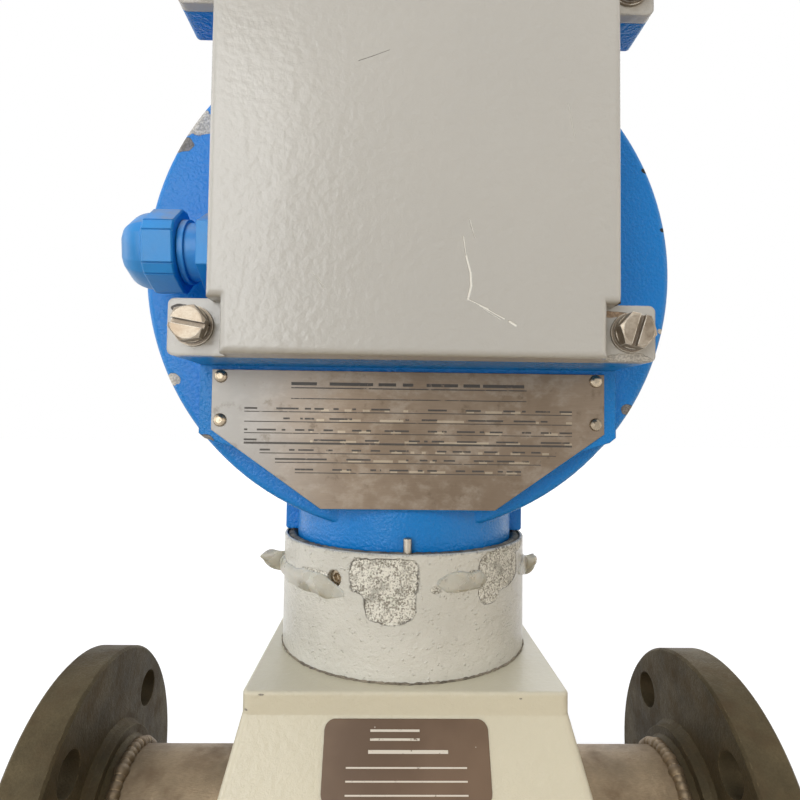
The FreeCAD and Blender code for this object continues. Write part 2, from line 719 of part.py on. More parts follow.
def set_screw_turns():
    return [-90 - SET_SCREW_ANGLE, -90 + SET_SCREW_ANGLE, 90 - SET_SCREW_ANGLE,
            90 + SET_SCREW_ANGLE]


def set_screw(turn):
    """One socket set screw whose dog point stands in the neck's groove."""
    tip = NECK_RADIUS - GROOVE_DEPTH + SET_SCREW_TIP_GAP
    shoulder = NECK_RADIUS + NECK_GAP + SET_SCREW_SHOULDER_GAP
    end = COLLAR_RADIUS - SET_SCREW_RECESS
    z = SET_SCREW_HEIGHT
    body = rod(SET_SCREW_RADIUS, V(shoulder, 0, z), V(end, 0, z))
    body = body.fuse(rod(SET_SCREW_POINT_RADIUS, V(tip, 0, z), V(shoulder, 0, z)))
    socket = V(end - SET_SCREW_SOCKET_DEPTH, 0, z)
    body = body.cut(hexagon(SET_SCREW_SOCKET_FLATS, socket, V(end, 0, z)))
    body.rotate(V(0, 0, 0), Z_AXIS, turn)
    return body.removeSplitter()


def make_collar():
    """Round collar: bolted floor, swivel bore, seal pocket, set screw and pin holes."""
    floor = COLLAR_BOTTOM + COLLAR_FLOOR
    bore = NECK_RADIUS + NECK_GAP
    profile = [
        V(LEAD_HOLE_RADIUS, 0, COLLAR_BOTTOM), V(COLLAR_RADIUS, 0, COLLAR_BOTTOM),
        V(COLLAR_RADIUS, 0, COLLAR_TOP - COLLAR_EDGE),
        V(COLLAR_RADIUS - COLLAR_EDGE, 0, COLLAR_TOP),
        V(SEAL_POCKET_RADIUS, 0, COLLAR_TOP), V(SEAL_POCKET_RADIUS, 0, SEAL_BOTTOM),
        V(bore, 0, SEAL_BOTTOM), V(bore, 0, floor), V(LEAD_HOLE_RADIUS, 0, floor),
    ]
    body = turned(profile, V(0, 0, 0), Z_AXIS)
    for turn in set_screw_turns():
        hole = rod(SET_SCREW_RADIUS, V(NECK_BORE_RADIUS, 0, SET_SCREW_HEIGHT),
                   V(COLLAR_RADIUS + CUT_OVERRUN, 0, SET_SCREW_HEIGHT))
        hole.rotate(V(0, 0, 0), Z_AXIS, turn)
        body = body.cut(hole)
    for shank in collar_bolt_shanks():
        body = body.cut(shank)
    return body.cut(make_stop_pin())


def make_neck_seal():
    """Flat rubber ring in the collar's mouth, round the neck and the stop pin."""
    inner = NECK_RADIUS + NECK_GAP
    start = V(0, 0, SEAL_BOTTOM)
    end = V(0, 0, SEAL_BOTTOM + SEAL_HEIGHT)
    return tube(SEAL_POCKET_RADIUS, inner, start, end).cut(make_stop_pin())


def make_stop_pin():
    foot = COLLAR_TOP - STOP_PIN_DEPTH
    top = COLLAR_TOP + STOP_PIN_HEIGHT
    pin = rod(STOP_PIN_RADIUS, V(0, STOP_PIN_Y, foot), V(0, STOP_PIN_Y, top))
    tip = [edge for edge in pin.Edges if edge.BoundBox.ZMin > top - NEAR]
    return pin.makeChamfer(STOP_PIN_BEVEL, tip)


# ---------------------------------------------------------------- head housing

def plate_outline():
    """The nameplate's six-cornered outline."""
    half = PLATE_HALF_WIDTH
    foot_half = PLATE_FOOT_HALF_WIDTH
    shoulder = PLATE_TOP - PLATE_SIDE
    foot = PLATE_TOP - PLATE_HEIGHT
    right = [V(half, PAD_FRONT, PLATE_TOP), V(half, PAD_FRONT, shoulder), V(foot_half, PAD_FRONT, foot)]
    return right + mirrored_points(right)


def mirrored_points(points):
    """The same points on the other side of the middle, in reverse order."""
    return [V(-point.x, point.y, point.z) for point in reversed(points)]


def pad_form():
    """Raised pad under the nameplate: straight sides and a rounded lower corner each side."""
    shoulder = PLATE_TOP - PLATE_SIDE
    half = PAD_HALF_WIDTH
    foot = PLATE_TOP - PLATE_HEIGHT - PAD_FOOT_MARGIN
    inner = PLATE_HALF_WIDTH - PAD_CORNER_INSET
    slope = (PLATE_HEIGHT - PLATE_SIDE) / (PLATE_HALF_WIDTH - PLATE_FOOT_HALF_WIDTH)
    ledge = shoulder - PAD_CORNER_DROP - PAD_CORNER_CUT
    under = PLATE_FOOT_HALF_WIDTH + (ledge - foot) / slope - PAD_UNDERCUT
    right = [V(half, PAD_FRONT, BOX_BOTTOM + FUSE_LAP), V(half, PAD_FRONT, shoulder - PAD_CORNER_RISE),
             V(half - PAD_CORNER_CUT, PAD_FRONT, shoulder - PAD_CORNER_DROP),
             V(inner, PAD_FRONT, ledge), V(under, PAD_FRONT, ledge - PAD_UNDERCUT),
             V(PLATE_FOOT_HALF_WIDTH, PAD_FRONT, foot)]
    return prism(right + mirrored_points(right), V(0, DRUM_FRONT + DRUM_WALL / 2 - PAD_FRONT, 0))


def drum_form():
    """The round drum, with rounded rims front and rear."""
    drum = rod(DRUM_RADIUS, V(0, DRUM_FRONT, HEAD_HEIGHT), V(0, DRUM_REAR, HEAD_HEIGHT))
    return drum.makeFillet(DRUM_EDGE, [edge for edge in drum.Edges if len(edge.Vertexes) == 1])


def ear_form(side, z_span, y_rear):
    """A solid ear at one corner of the terminal box, drilled for a cover screw."""
    x_span = sorted((side * (BOX_HALF_WIDTH - BOX_WALL / 2), side * EAR_OUTER))
    ear = box(x_span, (BOX_FRONT, y_rear), z_span)
    outer = [edge for edge in ear.Edges
             if runs_along(edge, Y_AXIS) and abs(abs(edge.CenterOfMass.x) - EAR_OUTER) < NEAR]
    return ear.makeFillet(EAR_ROUND, outer)


def box_form():
    """Outer form of the terminal box with its four ears."""
    rear = DRUM_FRONT + DRUM_WALL
    body = box((-BOX_HALF_WIDTH, BOX_HALF_WIDTH), (BOX_FRONT, rear), (BOX_BOTTOM, BOX_TOP))
    long_edges = [edge for edge in body.Edges if runs_along(edge, Y_AXIS)]
    body = body.makeFillet(EAR_ROUND, long_edges)
    shapes = [body]
    for side in (-1, 1):
        shapes.append(ear_form(side, (BOX_BOTTOM, BOX_BOTTOM + EAR_HEIGHT), DRUM_FRONT + EAR_SINK))
        shapes.append(ear_form(side, (BOX_TOP - EAR_HEIGHT, BOX_TOP), BOX_FRONT + UPPER_EAR_DEPTH))
    return joined(shapes)


def neck_form():
    """Neck from the swivel groove up into the drum, with two stop tabs."""
    top = HEAD_HEIGHT - DRUM_RADIUS / 2
    neck = rod(NECK_RADIUS, V(0, 0, NECK_BOTTOM), V(0, 0, top))
    groove = tube(NECK_RADIUS + CUT_OVERRUN, NECK_RADIUS - GROOVE_DEPTH,
                  V(0, 0, SET_SCREW_HEIGHT - GROOVE_HALF_WIDTH),
                  V(0, 0, SET_SCREW_HEIGHT + GROOVE_HALF_WIDTH))
    neck = neck.cut(groove)
    foot = COLLAR_TOP + TAB_DROP
    reach = NECK_RADIUS + TAB_REACH
    tabs = box((-reach, reach), (-TAB_WIDTH / 2, TAB_WIDTH / 2), (foot, foot + TAB_LENGTH))
    lower = [edge for edge in tabs.Edges
             if runs_along(edge, Y_AXIS) and edge.CenterOfMass.z < foot + NEAR]
    tabs = tabs.makeFillet(TAB_ROUND, lower)
    return neck.fuse(tabs)


def carrier_boss_places():
    points = []
    for step in range(CARRIER_BOSS_COUNT):
        angle = 2 * math.pi * (step + 0.5) / CARRIER_BOSS_COUNT
        points.append((CARRIER_BOSS_CIRCLE * math.cos(angle),
                       HEAD_HEIGHT + CARRIER_BOSS_CIRCLE * math.sin(angle)))
    return points


def gasket_path(grow, y_span):
    """A rectangular ring that follows the middle of the terminal box's rim."""
    middle = BOX_WALL / 2
    half = BOX_HALF_WIDTH - middle
    low = BOX_BOTTOM + middle
    high = BOX_TOP - middle
    outer = box((-half - grow, half + grow), y_span, (low - grow, high + grow))
    return outer.cut(box((-half + grow, half - grow), y_span, (low + grow, high - grow)))


def gland_axis_point(x):
    return V(x, GLAND_Y, GLAND_Z)


def make_head_housing():
    """One casting: drum, neck, nameplate pad and terminal box with its ears."""
    outer = joined([drum_form(), pad_form(), box_form(), neck_form()])
    inner_front = DRUM_FRONT + DRUM_WALL
    cavity = rod(DRUM_BORE_RADIUS, V(0, inner_front, HEAD_HEIGHT),
                 V(0, DRUM_REAR - DRUM_THREAD_LENGTH, HEAD_HEIGHT))
    thread = rod(DRUM_THREAD_RADIUS, V(0, inner_front, HEAD_HEIGHT),
                 V(0, DRUM_REAR + CUT_OVERRUN, HEAD_HEIGHT))
    space = cavity.fuse([thread, neck_bore()])
    for boss in carrier_bosses():
        space = space.cut(boss)
    body = outer.cut(space)
    inner_x = BOX_HALF_WIDTH - BOX_WALL
    body = body.cut(box((-inner_x, inner_x), (BOX_FRONT, DRUM_FRONT),
                        (BOX_BOTTOM + BOX_WALL, BOX_TOP - BOX_WALL)))
    body = body.cut(gasket_path(GASKET_WIDTH / 2, (BOX_FRONT, BOX_FRONT + GASKET_DEPTH)))
    body = body.cut(rod(GLAND_THREAD_RADIUS, gland_axis_point(-BOX_HALF_WIDTH),
                        gland_axis_point(-BOX_HALF_WIDTH + BOX_WALL)))
    for x in (-SCREW_X, SCREW_X):
        for z in SCREW_HEIGHTS:
            body = body.cut(rod(SCREW_RADIUS + SCREW_HOLE_GAP, V(x, BOX_FRONT, z),
                                V(x, BOX_FRONT + SCREW_HOLE_DEPTH, z)))
    return body.cut(lead_bush_shank()).removeSplitter()


def neck_bore():
    """Bore from the neck up into the drum, kept behind the drum's front wall."""
    drum_foot = HEAD_HEIGHT - DRUM_RADIUS
    lower = rod(NECK_BORE_RADIUS, V(0, 0, NECK_BOTTOM), V(0, 0, drum_foot))
    upper = rod(NECK_BORE_RADIUS, V(0, 0, drum_foot), V(0, 0, HEAD_HEIGHT))
    behind_wall = box((-NECK_BORE_RADIUS, NECK_BORE_RADIUS), (DRUM_FRONT + DRUM_WALL, NECK_BORE_RADIUS),
                      (drum_foot, HEAD_HEIGHT))
    return lower.fuse(upper.common(behind_wall))


def carrier_bosses():
    """Short pillars on the drum's front wall that carry the converter."""
    inner_front = DRUM_FRONT + DRUM_WALL
    return [rod(CARRIER_BOSS_RADIUS, V(x, inner_front, z), V(x, CARRIER_FRONT, z))
            for x, z in carrier_boss_places()]


def back_wall_point(x, y):
    """A place in the row of fittings along the foot of the terminal box's back wall."""
    return V(x, y, BACK_WALL_ROW_Z)


def lead_bush_shank():
    return rod(LEAD_BUSH_RADIUS, back_wall_point(LEAD_BUSH_X, DRUM_FRONT),
               back_wall_point(LEAD_BUSH_X, DRUM_FRONT + DRUM_WALL))


def make_lead_bush():
    """Potted bush that takes the leads through the box's back wall."""
    head = rod(LEAD_BUSH_RADIUS + LEAD_BUSH_LIP, back_wall_point(LEAD_BUSH_X, DRUM_FRONT - LEAD_BUSH_HEAD),
               back_wall_point(LEAD_BUSH_X, DRUM_FRONT))
    return lead_bush_shank().fuse(head).removeSplitter()


def make_lead_plug():
    """Potted plug that closes the neck round the coil and electrode leads."""
    foot = NECK_BOTTOM + LEAD_PLUG_RISE
    return rod(NECK_BORE_RADIUS, V(0, 0, foot), V(0, 0, foot + LEAD_PLUG_THICKNESS))


def make_nameplate():
    plate = prism(plate_outline(), V(0, -PLATE_THICKNESS, 0))
    for rivet in rivets():
        plate = plate.cut(rivet)
    return plate


def rivets():
    upper = PLATE_TOP - RIVET_UPPER_DROP
    front = PAD_FRONT - PLATE_THICKNESS
    pieces = []
    for x in (-PLATE_HALF_WIDTH + RIVET_INSET, PLATE_HALF_WIDTH - RIVET_INSET):
        for z in (upper, upper - RIVET_SPACING):
            shoulder = V(x, front - RIVET_SHOULDER_HEIGHT, z)
            shank = rod(RIVET_SHANK_RADIUS, V(x, PAD_FRONT, z), V(x, front, z))
            foot = cone(RIVET_RADIUS, RIVET_SHOULDER_RADIUS, V(x, front, z), shoulder)
            crown = cone(RIVET_SHOULDER_RADIUS, RIVET_CROWN_RADIUS, shoulder,
                         V(x, front - RIVET_HEIGHT, z))
            pieces.append(joined([shank, foot, crown]))
    return pieces


def make_cover_gasket():
    return gasket_path(GASKET_WIDTH / 2 - GASKET_GAP,
                       (BOX_FRONT + GASKET_GAP, BOX_FRONT + GASKET_DEPTH))


# ---------------------------------------------------------------- converter and terminals

def make_module_carrier():
    """Round aluminium plate on the four pillars."""
    plate = rod(CARRIER_RADIUS, V(0, CARRIER_FRONT, HEAD_HEIGHT), V(0, CARRIER_REAR, HEAD_HEIGHT))
    slot_top = HEAD_HEIGHT - BOARD_HEIGHT / 2 - CARRIER_SLOT_GAP
    plate = plate.cut(box((-CARRIER_SLOT_HALF_WIDTH, CARRIER_SLOT_HALF_WIDTH),
                          (CARRIER_FRONT, CARRIER_REAR), (HEAD_HEIGHT - CARRIER_RADIUS, slot_top)))
    for screw in carrier_screw_list():
        plate = plate.cut(screw)
    return plate


def carrier_screw_list():
    screws = []
    for x, z in carrier_boss_places():
        shank = rod(MODULE_SCREW_RADIUS, V(x, CARRIER_FRONT, z), V(x, CARRIER_REAR, z))
        head = rod(MODULE_SCREW_HEAD_RADIUS, V(x, CARRIER_REAR, z),
                   V(x, CARRIER_REAR + MODULE_SCREW_HEAD_HEIGHT, z))
        screws.append(shank.fuse(head).removeSplitter())
    return screws


def board_hole_places():
    half_x = BOARD_WIDTH / 2 - BOARD_HOLE_INSET
    half_z = BOARD_HEIGHT / 2 - BOARD_HOLE_INSET
    return [(x, HEAD_HEIGHT + z) for x in (-half_x, half_x) for z in (-half_z, half_z)]


def board_front(index):
    return CARRIER_REAR + BOARD_PITCH * (index + 1) - BOARD_THICKNESS


def make_board(index, parts):
    """A circuit board with its larger components soldered on its rear."""
    front = board_front(index)
    rear = front + BOARD_THICKNESS
    board = box((-BOARD_WIDTH / 2, BOARD_WIDTH / 2), (front, rear),
                (HEAD_HEIGHT - BOARD_HEIGHT / 2, HEAD_HEIGHT + BOARD_HEIGHT / 2))
    shapes = [board]
    for x, z, width, height, rise in parts:
        shapes.append(box((x - width / 2, x + width / 2), (rear, rear + rise),
                          (HEAD_HEIGHT + z - height / 2, HEAD_HEIGHT + z + height / 2)))
    return joined(shapes)


def make_spacers():
    """Round spacers between the carrier and the boards."""
    pieces = []
    for x, z in board_hole_places():
        start = CARRIER_REAR
        for index in range(BOARD_COUNT):
            front = board_front(index)
            pieces.append(rod(SPACER_RADIUS, V(x, start, z), V(x, front, z)))
            start = front + BOARD_THICKNESS
    return group(pieces)


def make_board_screws():
    rear = board_front(BOARD_COUNT - 1) + BOARD_THICKNESS
    end = rear + MODULE_SCREW_HEAD_HEIGHT
    return group([rod(MODULE_SCREW_HEAD_RADIUS, V(x, rear, z), V(x, end, z))
                  for x, z in board_hole_places()])


def make_transformer():
    """Mains transformer on the carrier, between it and the first board."""
    rear = CARRIER_REAR + BOARD_PITCH - BOARD_THICKNESS - TRANSFORMER_GAP
    middle = HEAD_HEIGHT - TRANSFORMER_DROP
    core = box((TRANSFORMER_X - CORE_HALF_WIDTH, TRANSFORMER_X + CORE_HALF_WIDTH), (CARRIER_REAR, rear),
               (middle - CORE_HALF_HEIGHT, middle + CORE_HALF_HEIGHT))
    bobbin = box((TRANSFORMER_X - BOBBIN_HALF_WIDTH, TRANSFORMER_X + BOBBIN_HALF_WIDTH),
                 (CARRIER_REAR, rear - BOBBIN_DROP),
                 (middle - BOBBIN_HALF_HEIGHT, middle + BOBBIN_HALF_HEIGHT))
    return joined([core, bobbin])


def pole_places():
    """The middle of each pole of a terminal strip."""
    return [-STRIP_LENGTH / 2 + STRIP_PITCH * (pole + 0.5) for pole in range(STRIP_POLES)]


def make_terminal_strip(centre):
    """A moulded strip with one open chamber and one screw seat for each pole."""
    front = DRUM_FRONT - STRIP_DEPTH
    half = STRIP_HEIGHT / 2
    body = box((-STRIP_LENGTH / 2, STRIP_LENGTH / 2), (front, DRUM_FRONT), (centre - half, centre + half))
    chamber = STRIP_PITCH / 2 - STRIP_WALL
    entry = chamber - STRIP_WALL
    for x in pole_places():
        body = body.cut(box((x - chamber, x + chamber), (front, front + STRIP_SEAT_DEPTH),
                            (centre - half, centre + half)))
        body = body.cut(box((x - entry, x + entry), (front + STRIP_ENTRY_START, front + STRIP_ENTRY_END),
                            (centre - half, centre - half + STRIP_ENTRY_HEIGHT)))
    return body


def make_terminal_screws():
    """Slotted screws, one to a pole, seated in the strips."""
    pieces = []
    seat = DRUM_FRONT - STRIP_DEPTH + STRIP_SEAT_DEPTH
    front = seat - TERMINAL_SCREW_HEIGHT
    for centre in STRIP_CENTRES:
        z = centre + TERMINAL_SCREW_RISE
        for x in pole_places():
            screw = rod(TERMINAL_SCREW_RADIUS, V(x, front, z), V(x, seat, z))
            slot = box((x - TERMINAL_SCREW_RADIUS, x + TERMINAL_SCREW_RADIUS),
                       (front, front + TERMINAL_SLOT_DEPTH),
                       (z - TERMINAL_SLOT_WIDTH / 2, z + TERMINAL_SLOT_WIDTH / 2))
            pieces.append(screw.cut(slot))
    return group(pieces)


def make_earth_screw():
    """Earth terminal on the box's back wall: saddle washer and slotted hexagon head."""
    saddle_front = DRUM_FRONT - EARTH_SADDLE_THICKNESS
    neck_front = saddle_front - EARTH_NECK_LENGTH
    head_front = neck_front - EARTH_HEAD_HEIGHT
    places = [back_wall_point(EARTH_SCREW_X, y)
              for y in (DRUM_FRONT, saddle_front, neck_front, head_front)]
    saddle = rod(EARTH_SADDLE_RADIUS, places[1], places[0])
    neck = rod(EARTH_SCREW_RADIUS, places[2], places[1])
    head = hexagon(EARTH_HEAD_FLATS, places[3], places[2])
    half_slot = EARTH_SLOT_WIDTH / 2
    slot = box((EARTH_SCREW_X - EARTH_HEAD_FLATS, EARTH_SCREW_X + EARTH_HEAD_FLATS),
               (head_front, head_front + EARTH_SLOT_DEPTH),
               (BACK_WALL_ROW_Z - half_slot, BACK_WALL_ROW_Z + half_slot))
    return joined([saddle, neck, head.cut(slot)])


# ---------------------------------------------------------------- gland

def gland_x(distance):
    """A place along the gland, measured outward from the box's side."""
    return gland_axis_point(-BOX_HALF_WIDTH - distance)


def make_gland_seal_ring():
    """Flat seal between the gland's hexagon and the box."""
    return tube(GLAND_HEX_FLATS / 2 - GLAND_RING_INSET, GLAND_THREAD_RADIUS, gland_x(0),
                gland_x(GLAND_RING_THICKNESS))


def make_gland_body():
    """Threaded shank, hexagon, flange and barrel, bored for the cable."""
    hex_start = GLAND_RING_THICKNESS
    hex_end = hex_start + GLAND_HEX_LENGTH
    flange_start = GLAND_NUT_START - GLAND_FLANGE_WIDTH - GLAND_NUT_GAP
    inside = -BOX_WALL - GLAND_SHANK_INSIDE
    shank = rod(GLAND_THREAD_RADIUS, gland_x(inside), gland_x(hex_start + FUSE_LAP))
    hexagonal = hexagon(GLAND_HEX_FLATS, gland_x(hex_start), gland_x(hex_end), GLAND_HEX_TURN)
    barrel = rod(GLAND_BARREL_RADIUS, gland_x(hex_start), gland_x(GLAND_MOUTH))
    flange_ring = rod(GLAND_FLANGE_RADIUS, gland_x(flange_start),
                      gland_x(flange_start + GLAND_FLANGE_WIDTH))
    body = joined([shank, hexagonal, barrel, flange_ring])
    return body.cut(rod(GLAND_BORE_RADIUS, gland_x(inside), gland_x(GLAND_MOUTH))).removeSplitter()


def make_gland_seal():
    """Rubber sleeve that grips the cable, seated in the barrel's mouth."""
    return tube(GLAND_BORE_RADIUS, CABLE_RADIUS, gland_x(GLAND_MOUTH - GLAND_SEAL_LENGTH),
                gland_x(GLAND_MOUTH))


def make_gland_washer():
    """Thrust washer between the seal's lip and the nut's dome."""
    start = GLAND_MOUTH + GLAND_NUT_GAP
    return tube(GLAND_BARREL_RADIUS - GLAND_WASHER_INSET, GLAND_MOUTH_RADIUS, gland_x(start),
                gland_x(start + GLAND_WASHER_THICKNESS))


def nut_prism(start, end):
    """Six broad flats with a narrow flat across each corner."""
    apothem = GLAND_NUT_FLATS / 2
    half = GLAND_NUT_FLAT_WIDTH / 2
    corner_radius = math.hypot(apothem, half)
    spread = math.degrees(math.atan2(half, apothem))
    points = []
    for step in range(6):
        for offset in (-spread, spread):
            angle = math.radians(60.0 * step + offset + GLAND_NUT_TURN)
            place = V(0, -corner_radius * math.cos(angle), corner_radius * math.sin(angle))
            points.append(start + place)
    return prism(points, end - start)


def nut_dome(hex_end, end):
    """The nut's rounded end, turned from a quarter of an oval."""
    outer = GLAND_NUT_FLATS / 2 - GLAND_DOME_INSET
    foot = outer - GLAND_MOUTH_RADIUS
    profile = [gland_x(hex_end - FUSE_LAP), gland_x(end)]
    for step in range(GLAND_DOME_STEPS, -1, -1):
        angle = math.pi / 2 * step / GLAND_DOME_STEPS
        radius = GLAND_MOUTH_RADIUS + foot * math.cos(angle)
        place = gland_x(hex_end + (end - hex_end) * math.sin(angle))
        profile.append(place + V(0, 0, radius))
    profile.append(gland_x(hex_end - FUSE_LAP) + V(0, 0, outer))
    return turned(profile, gland_x(0), X_AXIS)


def make_gland_nut():
    """Dome nut: flattened hexagon and a rounded end."""
    start = GLAND_NUT_START
    hex_end = start + GLAND_NUT_HEX_LENGTH
    end = hex_end + GLAND_DOME_LENGTH
    hexagonal = nut_prism(gland_x(start), gland_x(hex_end))
    pocket_end = GLAND_MOUTH + GLAND_NUT_GAP + GLAND_WASHER_THICKNESS + GLAND_WASHER_GAP
    pocket = rod(GLAND_BARREL_RADIUS + GLAND_NUT_GAP, gland_x(start), gland_x(pocket_end))
    body = joined([hexagonal, nut_dome(hex_end, end)]).cut(pocket)
    return body.cut(rod(GLAND_MOUTH_RADIUS, gland_x(start), gland_x(end + CUT_OVERRUN)))


# ---------------------------------------------------------------- covers

def cover_outline(y, half, low, high):
    """The cover's front outline, notched at its four corners for the lugs."""
    notch_x = half - NOTCH_DEPTH
    low_notch = low + EAR_HEIGHT - NOTCH_LAP
    high_notch = high - EAR_HEIGHT + NOTCH_LAP
    right = [V(notch_x, y, low), V(notch_x, y, low_notch), V(half, y, low_notch),
             V(half, y, high_notch), V(notch_x, y, high_notch), V(notch_x, y, high)]
    return right + mirrored_points(right)


def make_terminal_cover():
    """Hollow cast cover with notched corners and four drilled lugs."""
    body = prism(cover_outline(COVER_FRONT, COVER_HALF_WIDTH, BOX_BOTTOM, BOX_TOP),
                 V(0, COVER_DEPTH, 0))
    front_rim = [edge for edge in body.Edges if edge.BoundBox.YMax < COVER_FRONT + NEAR]
    body = body.makeFillet(COVER_EDGE, front_rim)
    lugs = []
    for side in (-1, 1):
        for z_span in ((BOX_BOTTOM, BOX_BOTTOM + EAR_HEIGHT), (BOX_TOP - EAR_HEIGHT, BOX_TOP)):
            x_span = sorted((side * (COVER_HALF_WIDTH - 2 * NOTCH_DEPTH), side * EAR_OUTER))
            lug = box(x_span, (LUG_FRONT, COVER_REAR), z_span)
            outer = [edge for edge in lug.Edges if runs_along(edge, Y_AXIS)
                     and abs(abs(edge.CenterOfMass.x) - EAR_OUTER) < NEAR]
            lugs.append(lug.makeFillet(EAR_ROUND, outer))
    body = joined([body] + lugs)
    inner = BOX_HALF_WIDTH - BOX_WALL
    body = body.cut(box((-inner, inner), (COVER_FRONT + COVER_WALL, COVER_REAR),
                        (BOX_BOTTOM + BOX_WALL, BOX_TOP - BOX_WALL)))
    for x in (-SCREW_X, SCREW_X):
        for z in SCREW_HEIGHTS:
            body = body.cut(rod(SCREW_RADIUS, V(x, LUG_FRONT, z), V(x, COVER_REAR, z)))
    return body.removeSplitter()


def cover_screw_places():
    return [(x, z) for z in SCREW_HEIGHTS for x in (-SCREW_X, SCREW_X)]


def make_cover_washers():
    """A flat washer and a split spring washer under each screw head."""
    pieces = []
    for x, z in cover_screw_places():
        flat_front = LUG_FRONT - WASHER_THICKNESS
        flat = tube(WASHER_RADIUS, SCREW_RADIUS, V(x, flat_front, z), V(x, LUG_FRONT, z))
        spring_front = flat_front - SPRING_WASHER_THICKNESS
        spring = tube(SPRING_WASHER_RADIUS, SCREW_RADIUS, V(x, spring_front, z), V(x, flat_front, z))
        half_split = SPRING_WASHER_SPLIT / 2
        split = box((x, x + SPRING_WASHER_RADIUS + CUT_OVERRUN), (spring_front, flat_front),
                    (z - half_split, z + half_split))
        pieces += [flat, spring.cut(split)]
    return group(pieces)


def make_cover_screws():
    """Hexagon screws with a slot across the head."""
    screws = []
    seat = LUG_FRONT - WASHER_THICKNESS - SPRING_WASHER_THICKNESS
    front = seat - SCREW_HEAD_HEIGHT
    for (x, z), turn in zip(cover_screw_places(), SCREW_SLOT_TURNS):
        head = hexagon(SCREW_HEAD_FLATS, V(x, seat, z), V(x, front, z), turn)
        rise = V(x, front + SCREW_BEVEL_DEPTH, z)
        bevel = cone(SCREW_HEAD_FLATS / 2 * HEX_CORNER + SCREW_BEVEL_GROWTH,
                     SCREW_HEAD_FLATS / 2 - SCREW_BEVEL_INSET, rise, V(x, front, z))
        lower = rod(SCREW_HEAD_FLATS, V(x, seat, z), rise)
        head = head.common(bevel.fuse(lower))
        slot = box((x - SCREW_HEAD_FLATS, x + SCREW_HEAD_FLATS), (front, front + SCREW_SLOT_DEPTH),
                   (z - SCREW_SLOT_WIDTH / 2, z + SCREW_SLOT_WIDTH / 2))
        slot.rotate(V(x, 0, z), Y_AXIS, turn)
        shank = rod(SCREW_RADIUS, V(x, seat, z), V(x, COVER_REAR + SCREW_REACH, z))
        screws.append(head.cut(slot).fuse(shank).removeSplitter())
    return group(screws)


def make_rear_cover():
    """Round screw cover: threaded spigot, flange with finger grips, flat dome."""
    seat = DRUM_REAR + REAR_SEAT_GAP
    flange_rear = seat + REAR_FLANGE_THICKNESS
    spigot_front = DRUM_REAR - DRUM_THREAD_LENGTH + REAR_SPIGOT_GAP
    spigot = DRUM_THREAD_RADIUS - REAR_THREAD_GAP
    inner = spigot - REAR_WALL
    dome_rear = flange_rear + REAR_DOME_HEIGHT
    crown = dome_rear - REAR_WALL
    rim = DRUM_RADIUS - REAR_RIM_INSET
    profile = [
        on_head(crown, 0), on_head(crown, inner), on_head(spigot_front, inner),
        on_head(spigot_front, spigot), on_head(seat, spigot), on_head(seat, rim),
        on_head(flange_rear - REAR_RIM_BEVEL, rim), on_head(flange_rear, rim - REAR_RIM_BEVEL),
        on_head(flange_rear, REAR_DOME_RADIUS + REAR_DOME_FOOT),
        on_head(dome_rear - REAR_DOME_EDGE_DROP, REAR_DOME_RADIUS),
        on_head(dome_rear, REAR_DOME_RADIUS - REAR_DOME_EDGE_INSET), on_head(dome_rear, 0),
    ]
    body = turned(profile, V(0, 0, HEAD_HEIGHT), Y_AXIS)
    groove_inner = REAR_SEAL_RADIUS - REAR_SEAL_WIDTH / 2 - REAR_SEAL_GAP
    groove_outer = REAR_SEAL_RADIUS + REAR_SEAL_WIDTH / 2 + REAR_SEAL_GAP
    groove_depth = REAR_SEAL_HEIGHT + REAR_SEAL_GAP
    body = body.cut(tube(groove_outer, groove_inner, V(0, seat, HEAD_HEIGHT),
                         V(0, seat + groove_depth, HEAD_HEIGHT)))
    grip = rod(REAR_GRIP_WIDTH / 2, on_head(seat, DRUM_RADIUS + REAR_RIM_BEVEL),
               on_head(flange_rear, DRUM_RADIUS + REAR_RIM_BEVEL))
    for notch in turned_copies(grip, V(0, 0, HEAD_HEIGHT), Y_AXIS, REAR_GRIP_COUNT):
        body = body.cut(notch)
    return body


def make_rear_seal():
    """Flat ring in the rear cover's groove."""
    seat = DRUM_REAR + REAR_SEAT_GAP
    half = REAR_SEAL_WIDTH / 2
    return tube(REAR_SEAL_RADIUS + half, REAR_SEAL_RADIUS - half, V(0, seat, HEAD_HEIGHT),
                V(0, seat + REAR_SEAL_HEIGHT, HEAD_HEIGHT))


